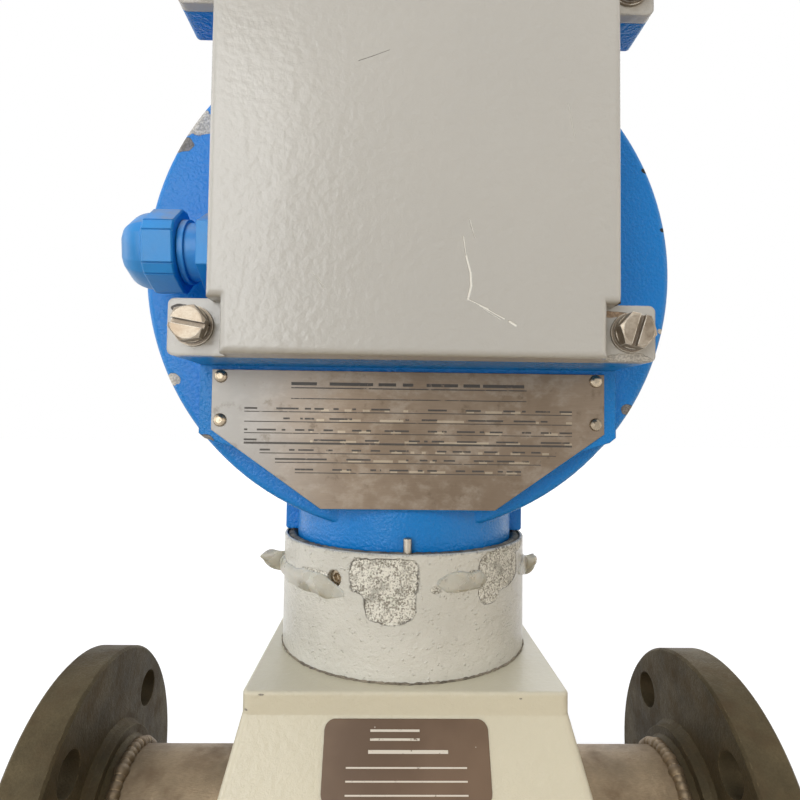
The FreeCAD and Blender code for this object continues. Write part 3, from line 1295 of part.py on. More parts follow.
def all_nodes():
    """Every node's shape by its name."""
    outlet = flange()
    return {
        "measuring_tube": make_measuring_tube(),
        "tube_liner": make_liner(),
        "outlet_flange": outlet,
        "inlet_flange": mirrored_x(outlet),
        "electrodes": group([electrode(side) for side in (-1, 1)]),
        "electrode_bushes": group([electrode_bush(side) for side in (-1, 1)]),
        "electrode_nuts": group([electrode_nut(side) for side in (-1, 1)]),
        "pole_shoe_upper": make_pole_shoe(1),
        "pole_shoe_lower": make_pole_shoe(-1),
        "field_coil_upper": make_coil(1),
        "field_coil_lower": make_coil(-1),
        "magnet_yoke": make_yoke(),
        "housing_upper": make_housing_upper(),
        "housing_lower": make_housing_lower(),
        "housing_gasket": make_housing_gasket(),
        "housing_bolts": make_housing_bolts(),
        "housing_nuts": make_housing_nuts(),
        "sensor_label": make_sensor_label(),
        "swivel_collar": make_collar(),
        "collar_bolts": make_collar_bolts(),
        "collar_set_screws": group([set_screw(turn) for turn in set_screw_turns()]),
        "neck_seal": make_neck_seal(),
        "stop_pin": make_stop_pin(),
        "head_housing": make_head_housing(),
        "lead_plug": make_lead_plug(),
        "lead_bush": make_lead_bush(),
        "nameplate": make_nameplate(),
        "nameplate_rivets": group(rivets()),
        "cover_gasket": make_cover_gasket(),
        "module_carrier": make_module_carrier(),
        "carrier_screws": group(carrier_screw_list()),
        "main_board": make_board(0, MAIN_BOARD_PARTS),
        "power_board": make_board(1, POWER_BOARD_PARTS),
        "board_spacers": make_spacers(),
        "board_screws": make_board_screws(),
        "transformer": make_transformer(),
        "terminal_strip_upper": make_terminal_strip(STRIP_CENTRES[0]),
        "terminal_strip_lower": make_terminal_strip(STRIP_CENTRES[1]),
        "terminal_screws": make_terminal_screws(),
        "earth_screw": make_earth_screw(),
        "gland_seal_ring": make_gland_seal_ring(),
        "gland_body": make_gland_body(),
        "gland_seal": make_gland_seal(),
        "gland_washer": make_gland_washer(),
        "gland_nut": make_gland_nut(),
        "terminal_cover": make_terminal_cover(),
        "cover_screws": make_cover_screws(),
        "cover_washers": make_cover_washers(),
        "rear_cover": make_rear_cover(),
        "rear_seal": make_rear_seal(),
    }


def main():
    os.makedirs("parts", exist_ok=True)
    for name, shape in all_nodes().items():
        shape.exportStep("parts/" + name + ".step")


main()
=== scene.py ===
import json
import math
import random

import bmesh
import bpy
from mathutils import Matrix, Vector


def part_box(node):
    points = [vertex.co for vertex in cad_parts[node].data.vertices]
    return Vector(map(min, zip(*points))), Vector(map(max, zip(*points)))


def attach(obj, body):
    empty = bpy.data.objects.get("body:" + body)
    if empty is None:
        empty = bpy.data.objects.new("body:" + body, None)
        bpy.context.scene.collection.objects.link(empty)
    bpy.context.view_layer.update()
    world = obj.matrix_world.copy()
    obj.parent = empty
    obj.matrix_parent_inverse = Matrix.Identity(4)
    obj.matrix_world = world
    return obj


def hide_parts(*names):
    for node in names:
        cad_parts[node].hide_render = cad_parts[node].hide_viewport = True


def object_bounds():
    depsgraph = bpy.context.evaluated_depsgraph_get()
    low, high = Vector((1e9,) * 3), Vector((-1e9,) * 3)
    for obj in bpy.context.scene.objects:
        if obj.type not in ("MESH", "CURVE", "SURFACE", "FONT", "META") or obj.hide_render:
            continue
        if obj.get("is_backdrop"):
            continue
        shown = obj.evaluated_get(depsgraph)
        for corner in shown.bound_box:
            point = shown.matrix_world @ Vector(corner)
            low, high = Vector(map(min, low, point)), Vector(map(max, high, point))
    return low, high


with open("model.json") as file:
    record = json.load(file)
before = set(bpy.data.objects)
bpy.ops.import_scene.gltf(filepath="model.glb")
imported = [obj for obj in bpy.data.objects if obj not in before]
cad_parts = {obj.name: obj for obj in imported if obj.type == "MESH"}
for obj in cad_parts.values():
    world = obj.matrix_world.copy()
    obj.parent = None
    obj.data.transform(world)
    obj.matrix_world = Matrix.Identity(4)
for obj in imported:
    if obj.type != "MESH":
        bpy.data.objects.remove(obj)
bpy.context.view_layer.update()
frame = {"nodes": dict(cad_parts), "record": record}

bl_info = {
    "name": "Electromagnetic flow meter",
    "version": (1, 0, 0),
    "blender": (4, 5, 0),
    "location": "3D View > Sidebar > Flow meter",
    "description": "Builds the looks of a flanged electromagnetic flow meter",
    "category": "Object",
}

MM = 0.001
NODES = frame["nodes"]
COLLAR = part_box("swivel_collar")


def middle_of(node):
    """The middle of a CAD node's box."""
    low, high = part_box(node)
    return (low + high) / 2


def half_of(node):
    """Half the size of a CAD node's box along each axis."""
    low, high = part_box(node)
    return (high - low) / 2


def in_metres(millimetres):
    return tuple(value * MM for value in millimetres)


# ---------------------------------------------------------------- settings

def length(name, description, default, smallest):
    """A length in metres that a user can change."""
    return bpy.props.FloatProperty(name=name, description=description, default=default, min=smallest,
                                   unit="LENGTH", subtype="DISTANCE")


def tone(name, description, default):
    """A colour that a user can change."""
    return bpy.props.FloatVectorProperty(name=name, description=description, default=default,
                                         subtype="COLOR", size=3, min=0.0, max=1.0)


class MeterSizes(bpy.types.PropertyGroup):
    casting_edge: length("Casting edge", "Width of the rounded edge on the castings", 0.0010, 0.0002)
    rivet_radius: length("Rivet radius", "Radius of a nameplate rivet's round head", 0.0023, 0.001)
    rivet_height: length("Rivet height", "Height of a nameplate rivet's round head", 0.0014, 0.0005)
    weld_ripples: bpy.props.IntProperty(
        name="Weld ripples", description="Ripples round each weld between tube and flange",
        default=54, min=12, max=120)
    weld_radius: length("Weld bead", "Radius of one ripple of the weld bead", 0.0028, 0.001)
    neck_radius: length("Neck radius", "Radius of the head's neck where it enters the collar",
                        0.0446, 0.02)
    nut_flats: length("Gland nut flats", "Width of the gland's nut across its flats", 0.0256, 0.02)
    nut_flat_width: length("Gland nut flat width", "Width of each flat between the corner ribs",
                           0.0104, 0.005)
    nut_groove: length("Gland nut groove", "Depth of the grooves beside each corner rib", 0.0005, 0.0)
    thread_pitch: length("Thread pitch", "Pitch of the housing bolts' threads", 0.0010, 0.0005)
    bolt_radius: length("Bolt radius", "Radius of the housing bolts at the root of their threads",
                        0.0029, 0.001)


class MeterColours(bpy.types.PropertyGroup):
    blue_paint: tone("Blue paint", "Enamel of the converter head", (0.003, 0.215, 0.640))
    cover_paint: tone("Cover paint", "Grey enamel of the terminal cover", (0.500, 0.490, 0.460))
    collar_paint: tone("Collar paint", "Cream textured paint of the collar", (0.630, 0.615, 0.550))
    housing_paint: tone("Housing paint", "Enamel of the sensor housing", (0.625, 0.575, 0.435))
    gland_plastic: tone("Gland plastic", "Polyamide of the cable gland", (0.006, 0.230, 0.620))
    flange_steel: tone("Flange steel", "Bare steel of the flanges", (0.090, 0.070, 0.038))


def sizes():
    return bpy.context.scene.meter_sizes


def colours():
    return bpy.context.scene.meter_colours


# ---------------------------------------------------------------- node helpers

class Wire:
    """A node's output, which takes part in sums as a number does."""

    def __init__(self, tree, socket):
        self.tree = tree
        self.socket = socket

    def maths(self, operation, first, second=0.0):
        return put(self.tree, "ShaderNodeMath", {0: first, 1: second}, operation=operation)[0]

    def __add__(self, other):
        return self.maths("ADD", self, other)

    def __sub__(self, other):
        return self.maths("SUBTRACT", self, other)

    def __rsub__(self, other):
        return self.maths("SUBTRACT", other, self)

    def __mul__(self, other):
        return self.maths("MULTIPLY", self, other)

    def __truediv__(self, other):
        return self.maths("DIVIDE", self, other)

    def __rtruediv__(self, other):
        return self.maths("DIVIDE", other, self)

    def __pow__(self, other):
        return self.maths("POWER", self, other)

    def __abs__(self):
        return self.maths("ABSOLUTE", self)

    def above(self, level):
        return self.maths("GREATER_THAN", self, level)

    def below(self, level):
        return self.maths("LESS_THAN", self, level)

    def larger(self, other):
        return self.maths("MAXIMUM", self, other)

    def smaller(self, other):
        return self.maths("MINIMUM", self, other)

    def span(self, low, high, out_low=0.0, out_high=1.0):
        """A smooth step of this value between two limits."""
        limits = {"Value": self, "From Min": low, "From Max": high, "To Min": out_low, "To Max": out_high}
        return put(self.tree, "ShaderNodeMapRange", limits, interpolation_type="SMOOTHSTEP")[0]


class Made:
    """A node in a tree, whose outputs are read by name or number."""

    def __init__(self, tree, node):
        self.tree = tree
        self.node = node

    def __getitem__(self, key):
        return Wire(self.tree, self.node.outputs[key])

    def feed(self, sockets):
        """Sets inputs to constants, or links them to wires."""
        for key, value in sockets.items():
            target = self.node.inputs[key]
            if isinstance(value, Wire):
                self.tree.links.new(value.socket, target)
            else:
                target.default_value = value


def put(tree, kind, sockets=None, **settings):
    """Adds a node, sets its settings, and feeds its inputs."""
    made = Made(tree, tree.nodes.new(kind))
    for name, value in settings.items():
        setattr(made.node, name, value)
    made.feed(sockets or {})
    return made


def title(key):
    """A socket's name from a plain word: stain_amount gives Stain Amount."""
    return key.replace("_", " ").title()


def shade(colour, factor):
    """A colour made darker or lighter."""
    return tuple(part * factor for part in colour)


def add_inputs(tree, inputs):
    """Names a tree's inputs; the kind of each follows from its default."""
    kinds = {int: "NodeSocketInt", float: "NodeSocketFloat", tuple: "NodeSocketVector"}
    for key, default in inputs.items():
        socket = tree.interface.new_socket(name=title(key), in_out="INPUT", socket_type=kinds[type(default)])
        socket.default_value = default


class Mixer:
    """A node tree that is being mixed, and the position on the surface."""

    def __init__(self, tree, position=None):
        self.tree = tree
        self.position = position

    def put(self, kind, sockets=None, **settings):
        return put(self.tree, kind, sockets, **settings)

    def noise(self, scale, detail=3.0, roughness=0.5, stretch=None):
        """Noise on the position, with an optional stretch along each axis."""
        place = self.position
        if stretch:
            place = self.put("ShaderNodeMapping", {"Vector": place, "Scale": stretch})[0]
        return self.put("ShaderNodeTexNoise", {"Vector": place, "Scale": scale, "Detail": detail,
                                               "Roughness": roughness})["Fac"]

    def cells(self, scale):
        """Distance from the middle of each of many scattered cells."""
        return self.put("ShaderNodeTexVoronoi", {"Vector": self.position, "Scale": scale})["Distance"]

    def parts(self, vector):
        return self.put("ShaderNodeSeparateXYZ", {0: vector})

    def vector(self, operation, first, second):
        """A sum on vectors; a product or distance that is a number comes out as one."""
        made = self.put("ShaderNodeVectorMath", {0: first, 1: second}, operation=operation)
        return made["Value" if operation in ("DOT_PRODUCT", "DISTANCE") else "Vector"]

    def scaled(self, vector, scale):
        return self.put("ShaderNodeVectorMath", {0: vector, "Scale": scale}, operation="SCALE")[0]

    def blend(self, factor, first, second):
        """Two colours, each a wire or three numbers, mixed by a mask."""
        first, second = [colour if isinstance(colour, Wire) else (*colour, 1.0)
                         for colour in (first, second)]
        return self.put("ShaderNodeMix", {0: factor, 6: first, 7: second}, data_type="RGBA")[2]

    def mix(self, factor, first, second):
        """Two numbers mixed by a mask."""
        return self.put("ShaderNodeMix", {0: factor, 2: first, 3: second})[0]

    def effect(self, name, **values):
        """Places a shared effect in this tree, with its own values."""
        group = self.put("ShaderNodeGroup", node_tree=bpy.data.node_groups[name])
        if "Position" in group.node.inputs:
            values = {"position": self.position} | values
        group.feed({title(key): value for key, value in values.items()})
        return group


class Effect(Mixer):
    """A shared effect: a shader node group with named inputs and outputs."""

    def __init__(self, name, placed=True, **inputs):
        tree = bpy.data.node_groups.new(name, "ShaderNodeTree")
        if placed:
            tree.interface.new_socket(name="Position", in_out="INPUT", socket_type="NodeSocketVector")
        add_inputs(tree, inputs)
        self.entry = put(tree, "NodeGroupInput")
        super().__init__(tree, self.entry["Position"] if placed else None)

    def __getitem__(self, key):
        return self.entry[title(key)]

    def give(self, **outputs):
        """Names what the effect puts out: a normal is a vector, and masks and heights are numbers."""
        for key in outputs:
            kind = "NodeSocketVector" if key == "normal" else "NodeSocketFloat"
            self.tree.interface.new_socket(name=title(key), in_out="OUTPUT", socket_type=kind)
        self.put("NodeGroupOutput", {title(key): wire for key, wire in outputs.items()})


# ---------------------------------------------------------------- shared effects

def build_paint_skin():
    """Height of sprayed paint: broad lumps, orange peel and fine grit."""
    skin = Effect("Paint Skin", peel_scale=700.0, lump_scale=60.0, grit=0.2)
    peel = skin.noise(skin["peel_scale"], 2.0)
    lumps = skin.noise(skin["lump_scale"], 2.0)
    grit = skin.noise(2600.0, 1.0) * skin["grit"]
    skin.give(height=peel + lumps * 1.6 + grit)


def build_worn_edges():
    """Mask of sharp edges, broken up by noise, and the rounded normal there."""
    worn = Effect("Worn Edges", radius=0.0012, amount=0.5)
    rounded = worn.put("ShaderNodeBevel", {"Radius": worn["radius"]}, samples=4)[0]
    flat = worn.put("ShaderNodeNewGeometry")["Normal"]
    edge = worn.vector("DOT_PRODUCT", rounded, flat).span(0.995, 0.90)
    level = 1.0 - worn["amount"]
    patchy = worn.noise(260.0, 5.0, 0.65).span(level, level + 0.06)
    worn.give(mask=edge * patchy, normal=rounded)


def build_patch():
    """Ragged patch round a centre, with its own half sizes."""
    patch = Effect("Ragged Patch", centre=(0.0, 0.0, 0.0), size=(1.0, 1.0, 1.0), raggedness=0.6,
                   grain=220.0, softness=0.08, squareness=2.0)
    away = patch.vector("SUBTRACT", patch.position, patch["centre"])
    parts = patch.parts(patch.vector("DIVIDE", away, patch["size"]))
    power = patch["squareness"]
    total = abs(parts[0]) ** power + abs(parts[1]) ** power + abs(parts[2]) ** power
    shift = (patch.noise(patch["grain"], 5.0, 0.6) - 0.5) * patch["raggedness"]
    distance = total ** (1.0 / power) + shift
    patch.give(mask=distance.span(1.0, 1.0 - patch["softness"]), distance=distance)


def build_grime():
    """Soft stains and fine specks of dirt."""
    grime = Effect("Grime", stain_scale=14.0, stain_amount=0.4, speck_scale=420.0, speck_amount=0.1)
    stain = grime.noise(grime["stain_scale"], 6.0, 0.62).span(0.42, 0.75) * grime["stain_amount"]
    near = grime.cells(grime["speck_scale"]).span(0.24, 0.12)
    chosen = grime.noise(95.0, 2.0).span(0.80 - grime["speck_amount"], 0.86)
    grime.give(stain=stain, specks=near * chosen)


def build_settled_dust():
    """Dust that lies on the faces that look upward."""
    dust = Effect("Settled Dust", amount=0.5)
    upward = dust.parts(dust.put("ShaderNodeTexCoord")["Normal"])[2].span(0.35, 0.95)
    clumps = dust.noise(130.0, 5.0, 0.6).span(0.30, 0.70)
    dust.give(mask=upward * clumps * dust["amount"])


def build_ruled_line():
    """One level ruled line between two ends, at a height."""
    line = Effect("Ruled Line", height=0.0, left=-0.05, right=0.05, thickness=0.0003)
    place = line.parts(line.position)
    on_line = abs(place[2] - line["height"]).below(line["thickness"] / 2.0)
    line.give(mask=on_line * (place[0].above(line["left"]) * place[0].below(line["right"])))


def build_ruled_dashes():
    """A level row of ruled dashes of uneven length."""
    row = Effect("Ruled Dashes", height=0.0, left=-0.05, right=0.05, thickness=0.0008, row=0.0, fill=0.5)
    line = row.effect("Ruled Line", **{key: row[key] for key in ("height", "left", "right", "thickness")})
    across = row.parts(row.position)[0]
    row.position = row.put("ShaderNodeCombineXYZ", {0: across, 1: row["row"]})[0]
    row.give(mask=line["Mask"] * row.noise(150.0, 1.0).above(1.0 - row["fill"]))


def build_scratch():
    """A fine scratch from one point to another, broken up along its length."""
    scratch = Effect("Scratch", start=(0.0, 0.0, 0.0), end=(0.0, 0.0, 1.0), width=0.0003)
    here = scratch.vector("SUBTRACT", scratch.position, scratch["start"])
    run = scratch.vector("SUBTRACT", scratch["end"], scratch["start"])
    sockets = {0: scratch.vector("DOT_PRODUCT", here, run), 1: scratch.vector("DOT_PRODUCT", run, run)}
    share = scratch.put("ShaderNodeMath", sockets, operation="DIVIDE", use_clamp=True)[0]
    half = scratch["width"] / 2.0
    line = scratch.vector("DISTANCE", here, scratch.scaled(run, share)).span(half, half * 0.35)
    scratch.give(mask=line * scratch.noise(420.0, 3.0, 0.7).span(0.30, 0.46, 0.35, 1.0))


def build_crevices():
    """Mask of slots and corners from ambient occlusion, where painted shade goes."""
    crevices = Effect("Crevices", placed=False, depth=0.0015)
    # ambient occlusion: the darker a spot is in shade, the higher the mask
    closed = crevices.put("ShaderNodeAmbientOcclusion", {"Distance": crevices["depth"]},
                          samples=6, only_local=True)["AO"]
    crevices.give(mask=closed.span(0.85, 0.40))


SHARED_EFFECTS = (build_paint_skin, build_worn_edges, build_patch, build_grime, build_settled_dust,
                  build_ruled_line, build_ruled_dashes, build_scratch, build_crevices)


# ---------------------------------------------------------------- finishes

class Finish(Mixer):
    """A material whose colour is laid on layer by layer, over one Principled shader."""

    def __init__(self, name):
        self.material = bpy.data.materials.new(name)
        self.material.use_nodes = True
        tree = self.material.node_tree
        tree.nodes.clear()
        self.shader = put(tree, "ShaderNodeBsdfPrincipled")
        put(tree, "ShaderNodeOutputMaterial", {0: self.shader[0]})
        super().__init__(tree, put(tree, "ShaderNodeTexCoord")["Object"])
        self.base = None

    def ground(self, mask, dark, light):
        """The first coat, from one colour to another."""
        self.base = self.blend(mask, dark, light)

    def tint(self, mask, colour):
        """One more colour over what is there."""
        self.base = self.blend(mask, self.base, colour)

    def done(self, roughness, height, depth, edges=None, strength=1.0, metallic=0.0):
        """Feeds the shader, with the height as a bump of the given depth in metres."""
        bump = {"Height": height, "Strength": strength, "Distance": depth}
        if edges:
            bump["Normal"] = edges["Normal"]
        self.shader.feed({"Base Color": self.base, "Roughness": roughness, "Metallic": metallic,
                          "Normal": self.put("ShaderNodeBump", bump)[0]})
        return self.material


def painted(name, colour, peel_scale, lump_scale, grit, bump, gloss, chip_colour, wear, stains,
            patches=(), dust=0.0, edge_radius=None, coat=0.0, shine=0.5, scratches=()):
    """Enamel on a casting: skin, stains, worn edges and chips down to primer or metal.

    Each patch is (centre, half sizes, raggedness, colour), and each scratch is
    (start, end, width, colour)."""
    paint = Finish(name)
    skin = paint.effect("Paint Skin", peel_scale=peel_scale, lump_scale=lump_scale, grit=grit)
    grime = paint.effect("Grime", stain_amount=stains, speck_amount=0.05 + stains * 0.1)
    edges = paint.effect("Worn Edges", amount=wear, radius=edge_radius or sizes().casting_edge)
    paint.ground(paint.noise(7.0).span(0.3, 0.7), shade(colour, 0.93), shade(colour, 1.06))
    paint.tint(grime["Stain"], (0.20, 0.17, 0.13))
    paint.tint(grime["Specks"], (0.05, 0.045, 0.04))
    chipped = edges["Mask"]
    grit_tone = paint.noise(1500.0, 2.0, 0.6)
    paint.tint(chipped, paint.blend(grit_tone.span(0.35, 0.65), shade(chip_colour, 0.45), chip_colour))
    for centre, size, raggedness, colour_there in patches:
        mask = paint.effect("Ragged Patch", centre=centre, size=size, raggedness=raggedness)["Mask"]
        speckle = paint.blend(grit_tone.span(0.40, 0.60), shade(colour_there, 0.66),
                              shade(colour_there, 1.06))
        paint.tint(mask, speckle)
        chipped = chipped.larger(mask)
    for start, end, width, colour_there in scratches:
        line = paint.effect("Scratch", start=start, end=end, width=width)["Mask"]
        paint.tint(line, colour_there)
        chipped = chipped.larger(line * 0.6)
    dull = chipped
    if dust:
        lying = paint.effect("Settled Dust", amount=dust)["Mask"]
        paint.tint(lying, (0.34, 0.31, 0.26))
        dull = chipped.larger(lying)
    rough = paint.mix(dull, paint.noise(40.0, 4.0) * 0.10 + (gloss - 0.05), 0.8)
    paint.shader.feed({"Coat Weight": coat, "Coat Roughness": 0.12, "Specular IOR Level": shine})
    return paint.done(rough, skin["Height"] - chipped * 1.5, bump, edges)


def blue_enamel():
    """Blue enamel of the head, chipped round the drum's rim and beside the nameplate."""
    white, grey, black = (0.62, 0.60, 0.56), (0.26, 0.25, 0.24), (0.02, 0.02, 0.02)
    head = middle_of("rear_cover")
    rim = half_of("head_housing").x - 1.2 * MM
    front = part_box("head_housing")[0].y + 33.5 * MM
    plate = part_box("nameplate")[0]
    chips = []
    for angle, width, colour in ((146, 7.0, white), (152, 4.0, grey), (138, 3.0, grey), (-13, 1.3, white),
                                 (24, 1.3, black), (10, 1.1, black), (-32, 2.6, grey), (206, 3.0, white),
                                 (62, 2.4, white)):
        turn = math.radians(angle)
        centre = (head.x + rim * math.cos(turn), front, head.z + rim * math.sin(turn))
        chips.append((centre, (width * MM, 4.0 * MM, width * 0.8 * MM), 0.9, colour))
    for left, up, size, raggedness, colour in ((3.0, 23.5, (4.2, 4.0, 2.0), 0.8, grey),
                                               (0.5, 21.5, (3.0, 3.0, 1.4), 0.9, white)):
        centre = (plate.x - left * MM, plate.y + 2.0 * MM, plate.z + up * MM)
        chips.append((centre, in_metres(size), raggedness, colour))
    return painted("blue_enamel", colours().blue_paint, peel_scale=900.0, lump_scale=45.0, grit=0.15,
                   bump=0.00034, gloss=0.27, chip_colour=(0.50, 0.49, 0.46), wear=0.36, stains=0.02,
                   patches=chips, dust=0.02, shine=0.30)


def cover_enamel():
    """Grey enamel of the terminal cover, flaked at its lower lugs and scratched in front."""
    rust, flaked, dark = (0.42, 0.30, 0.20), (0.52, 0.50, 0.46), (0.07, 0.06, 0.05)
    pale, sooty = (0.80, 0.79, 0.73), (0.16, 0.15, 0.14)
    low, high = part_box("terminal_cover")
    middle = middle_of("terminal_cover")
    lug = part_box("cover_screws")[0].z
    patches = [((x, low.y + back * MM, z), in_metres(size), raggedness, colour)
               for x, back, z, size, raggedness, colour in (
                   (high.x - 8.0 * MM, 9.0, lug - 4.0 * MM, (8.0, 4.0, 3.4), 1.0, flaked),
                   (high.x - 13.0 * MM, 9.0, lug + 11.2 * MM, (4.2, 4.0, 1.1), 1.2, rust),
                   (low.x + 4.0 * MM, 9.0, lug + 11.0 * MM, (3.0, 4.0, 1.4), 0.9, dark),
                   (high.x - 13.8 * MM, 3.0, lug + 14.0 * MM, (0.8, 3.0, 3.0), 0.9, dark),
                   (middle.x - 18.0 * MM, 0.0, high.z - 21.0 * MM, (1.2, 2.0, 0.7), 0.4, dark))]
    scratches = [((x * MM, low.y, middle.z + z * MM), (end_x * MM, low.y, middle.z + end_z * MM),
                  width * MM, colour)
                 for x, z, end_x, end_z, width, colour in (
                     (14.0, -28.6, 14.9, -34.5, 0.45, pale), (14.9, -34.5, 16.2, -39.4, 0.85, pale),
                     (16.2, -39.4, 16.4, -43.2, 0.95, pale), (16.4, -43.2, 15.5, -47.2, 0.95, pale),
                     (15.5, -47.2, 21.5, -50.0, 0.50, pale), (19.0, -49.0, 26.2, -52.8, 0.55, pale),
                     (20.0, -49.9, 25.0, -53.0, 0.30, pale), (27.8, -53.6, 29.6, -54.7, 1.00, pale),
                     (15.8, -23.5, 17.5, -29.0, 0.32, pale), (-17.6, 23.5, -13.0, 25.2, 0.22, sooty),
                     (-13.0, 25.2, -8.4, 27.1, 0.18, sooty), (-30.0, -40.0, -26.2, -45.2, 0.22, pale),
                     (45.0, 12.0, 47.0, 2.0, 0.20, pale))]
    return painted("grey_enamel", colours().cover_paint, peel_scale=360.0, lump_scale=30.0, grit=0.12,
                   bump=0.00021, gloss=0.22, chip_colour=(0.34, 0.31, 0.27), wear=0.26, stains=0.06,
                   patches=patches, coat=0.20, edge_radius=0.0014, scratches=scratches)


def housing_enamel():
    """Enamel of the sensor housing, with a few small chips on the shoulder's edge."""
    low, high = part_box("housing_upper")
    edge = low.y + 27.0 * MM
    chips = [((x, edge, high.z - fall * MM), in_metres((width, 4.0, tall)), 1.3, (0.30, 0.27, 0.22))
             for x, fall, width, tall in ((low.x + 7.0 * MM, 6.0, 0.7, 0.4),
                                          (low.x + 12.0 * MM, 1.0, 1.0, 0.3),
                                          (high.x - 22.0 * MM, 2.0, 0.6, 0.3))]
    return painted("housing_enamel", colours().housing_paint, peel_scale=420.0, lump_scale=40.0, grit=0.3,
                   bump=0.00026, gloss=0.34, chip_colour=(0.30, 0.28, 0.24), wear=0.24, stains=0.10,
                   patches=chips, coat=0.05)


def bare_metal(name, colour, gloss, rust_amount, grain=None, metallic=1.0, bump=0.00012,
               rust=(0.16, 0.075, 0.03), wear=0.5, scale=30.0, shine=0.5):
    """Steel with grain, tarnish, rust in patches and edges rubbed bright."""
    steel = Finish(name)
    edges = steel.effect("Worn Edges", radius=0.0006, amount=wear)
    fine = steel.noise(1400.0, 2.0, 0.6, grain)
    steel.ground(steel.noise(scale, 6.0, 0.62).span(0.30, 0.72), shade(colour, 0.62), shade(colour, 1.25))
    steel.tint(fine.span(0.30, 0.75, 0.0, 0.25), shade(colour, 0.55))
    patches = steel.noise(scale * 2.4, 7.0, 0.68)
    rusty = patches.span(0.72 - 0.45 * rust_amount, 0.80) * rust_amount
    steel.tint(rusty, rust)
    steel.tint(edges["Mask"] * 0.7, shade(colour, 2.1))
    steel.shader.feed({"Specular IOR Level": shine})
    return steel.done(steel.mix(rusty, fine.span(0.2, 0.8, gloss - 0.06, gloss + 0.08), 0.85),
                      fine * 0.4 + steel.noise(scale * 8.0, 5.0, 0.6), bump, edges,
                      metallic=(1.0 - rusty) * metallic)


def plain_plastic(name, colour, gloss, bump=0.00008, dust=0.0, scale=900.0, wear=0.12, scuff=None):
    """Moulded plastic or rubber: fine spark texture, scuffed edges and dust."""
    plastic = Finish(name)
    edges = plastic.effect("Worn Edges", radius=0.0005, amount=wear)
    cloud = plastic.noise(45.0, 4.0)
    plastic.ground(cloud.span(0.3, 0.7), shade(colour, 0.86), shade(colour, 1.14))
    plastic.tint(edges["Mask"], scuff or tuple(min(1.0, part * 1.8 + 0.04) for part in colour))
    rough = cloud.span(0.3, 0.7, gloss - 0.06, gloss + 0.08)
    if dust:
        lying = plastic.effect("Settled Dust", amount=dust)["Mask"]
        plastic.tint(lying, (0.30, 0.30, 0.32))
        rough = plastic.mix(lying, rough, 0.85)
    return plastic.done(rough, plastic.noise(scale), bump, edges)


def flaked_collar():
    """Cream hammered paint that has come away in two ragged patches of pitted metal."""
    cream = Finish("cream_enamel")
    colour = colours().collar_paint
    centre, radius, top = middle_of("swivel_collar"), half_of("swivel_collar").x, COLLAR[1].z
    skin = cream.effect("Paint Skin", peel_scale=620.0, lump_scale=130.0, grit=0.5)
    grime = cream.effect("Grime", stain_amount=0.10, stain_scale=22.0, speck_amount=0.04)
    edges = cream.effect("Worn Edges", radius=0.0009, amount=0.50)
    lumps = cream.cells(760.0).span(0.40, 0.08) * cream.noise(300.0, 2.0).span(0.47, 0.60)
    cream.ground(cream.noise(26.0, 5.0, 0.6).span(0.3, 0.7), shade(colour, 0.93), shade(colour, 1.04))
    cream.tint(grime["Stain"], (0.30, 0.27, 0.20))
    cream.tint(grime["Specks"], (0.14, 0.13, 0.10))
    distances = []
    for x, fall, wide, tall, squareness in (
            (-8.0, 8.0, 12.2, 6.6, 5.0), (-6.0, 16.0, 9.2, 8.0, 3.0), (34.5, 8.0, 9.5, 7.4, 2.6),
            (30.0, 14.0, 4.5, 5.6, 2.2), (23.8, 9.5, 4.0, 3.0, 2.0), (40.0, 1.0, 8.5, 2.8, 2.0),
            (10.0, 12.2, 1.9, 1.3, 2.0), (-33.0, 8.8, 6.0, 0.8, 2.0)):
        across = x * MM
        y = centre.y - math.sqrt(max(radius ** 2 - (across - centre.x) ** 2, 0.0))
        patch = cream.effect("Ragged Patch", centre=(across, y, top - fall * MM),
                             size=(wide * MM, 20.0 * MM, tall * MM), raggedness=0.42, grain=260.0,
                             softness=0.03, squareness=squareness)
        distances.append(patch["Distance"])
    closest = distances[0]
    for distance in distances[1:]:
        closest = closest.smaller(distance)
    bared = edges["Mask"].larger(closest.span(1.0, 0.96))
    broken = cream.noise(260.0, 4.0, 0.6).span(0.42, 0.60)
    outline = abs(closest - 0.985).span(0.05, 0.012) * broken * 0.85
    pitting = cream.noise(1500.0, 3.0, 0.66) * 0.7 + cream.noise(330.0, 4.0, 0.6) * 0.3
    metal = cream.blend(pitting.span(0.41, 0.55), (0.23, 0.21, 0.165), (0.80, 0.78, 0.70))
    metal = cream.blend(cream.noise(120.0, 6.0, 0.72).span(0.53, 0.64, 0.0, 0.55), metal, (0.20, 0.19, 0.155))
    metal = cream.blend(cream.noise(170.0).span(0.55, 0.75, 0.0, 0.25), metal, (0.36, 0.42, 0.28))
    cream.tint(bared, metal)
    cream.tint(outline, (0.12, 0.11, 0.085))
    height = skin["Height"] + lumps * 0.75 - bared * 2.0 + pitting * bared
    return cream.done(cream.mix(bared, 0.26, 0.60), height, 0.00036, edges)


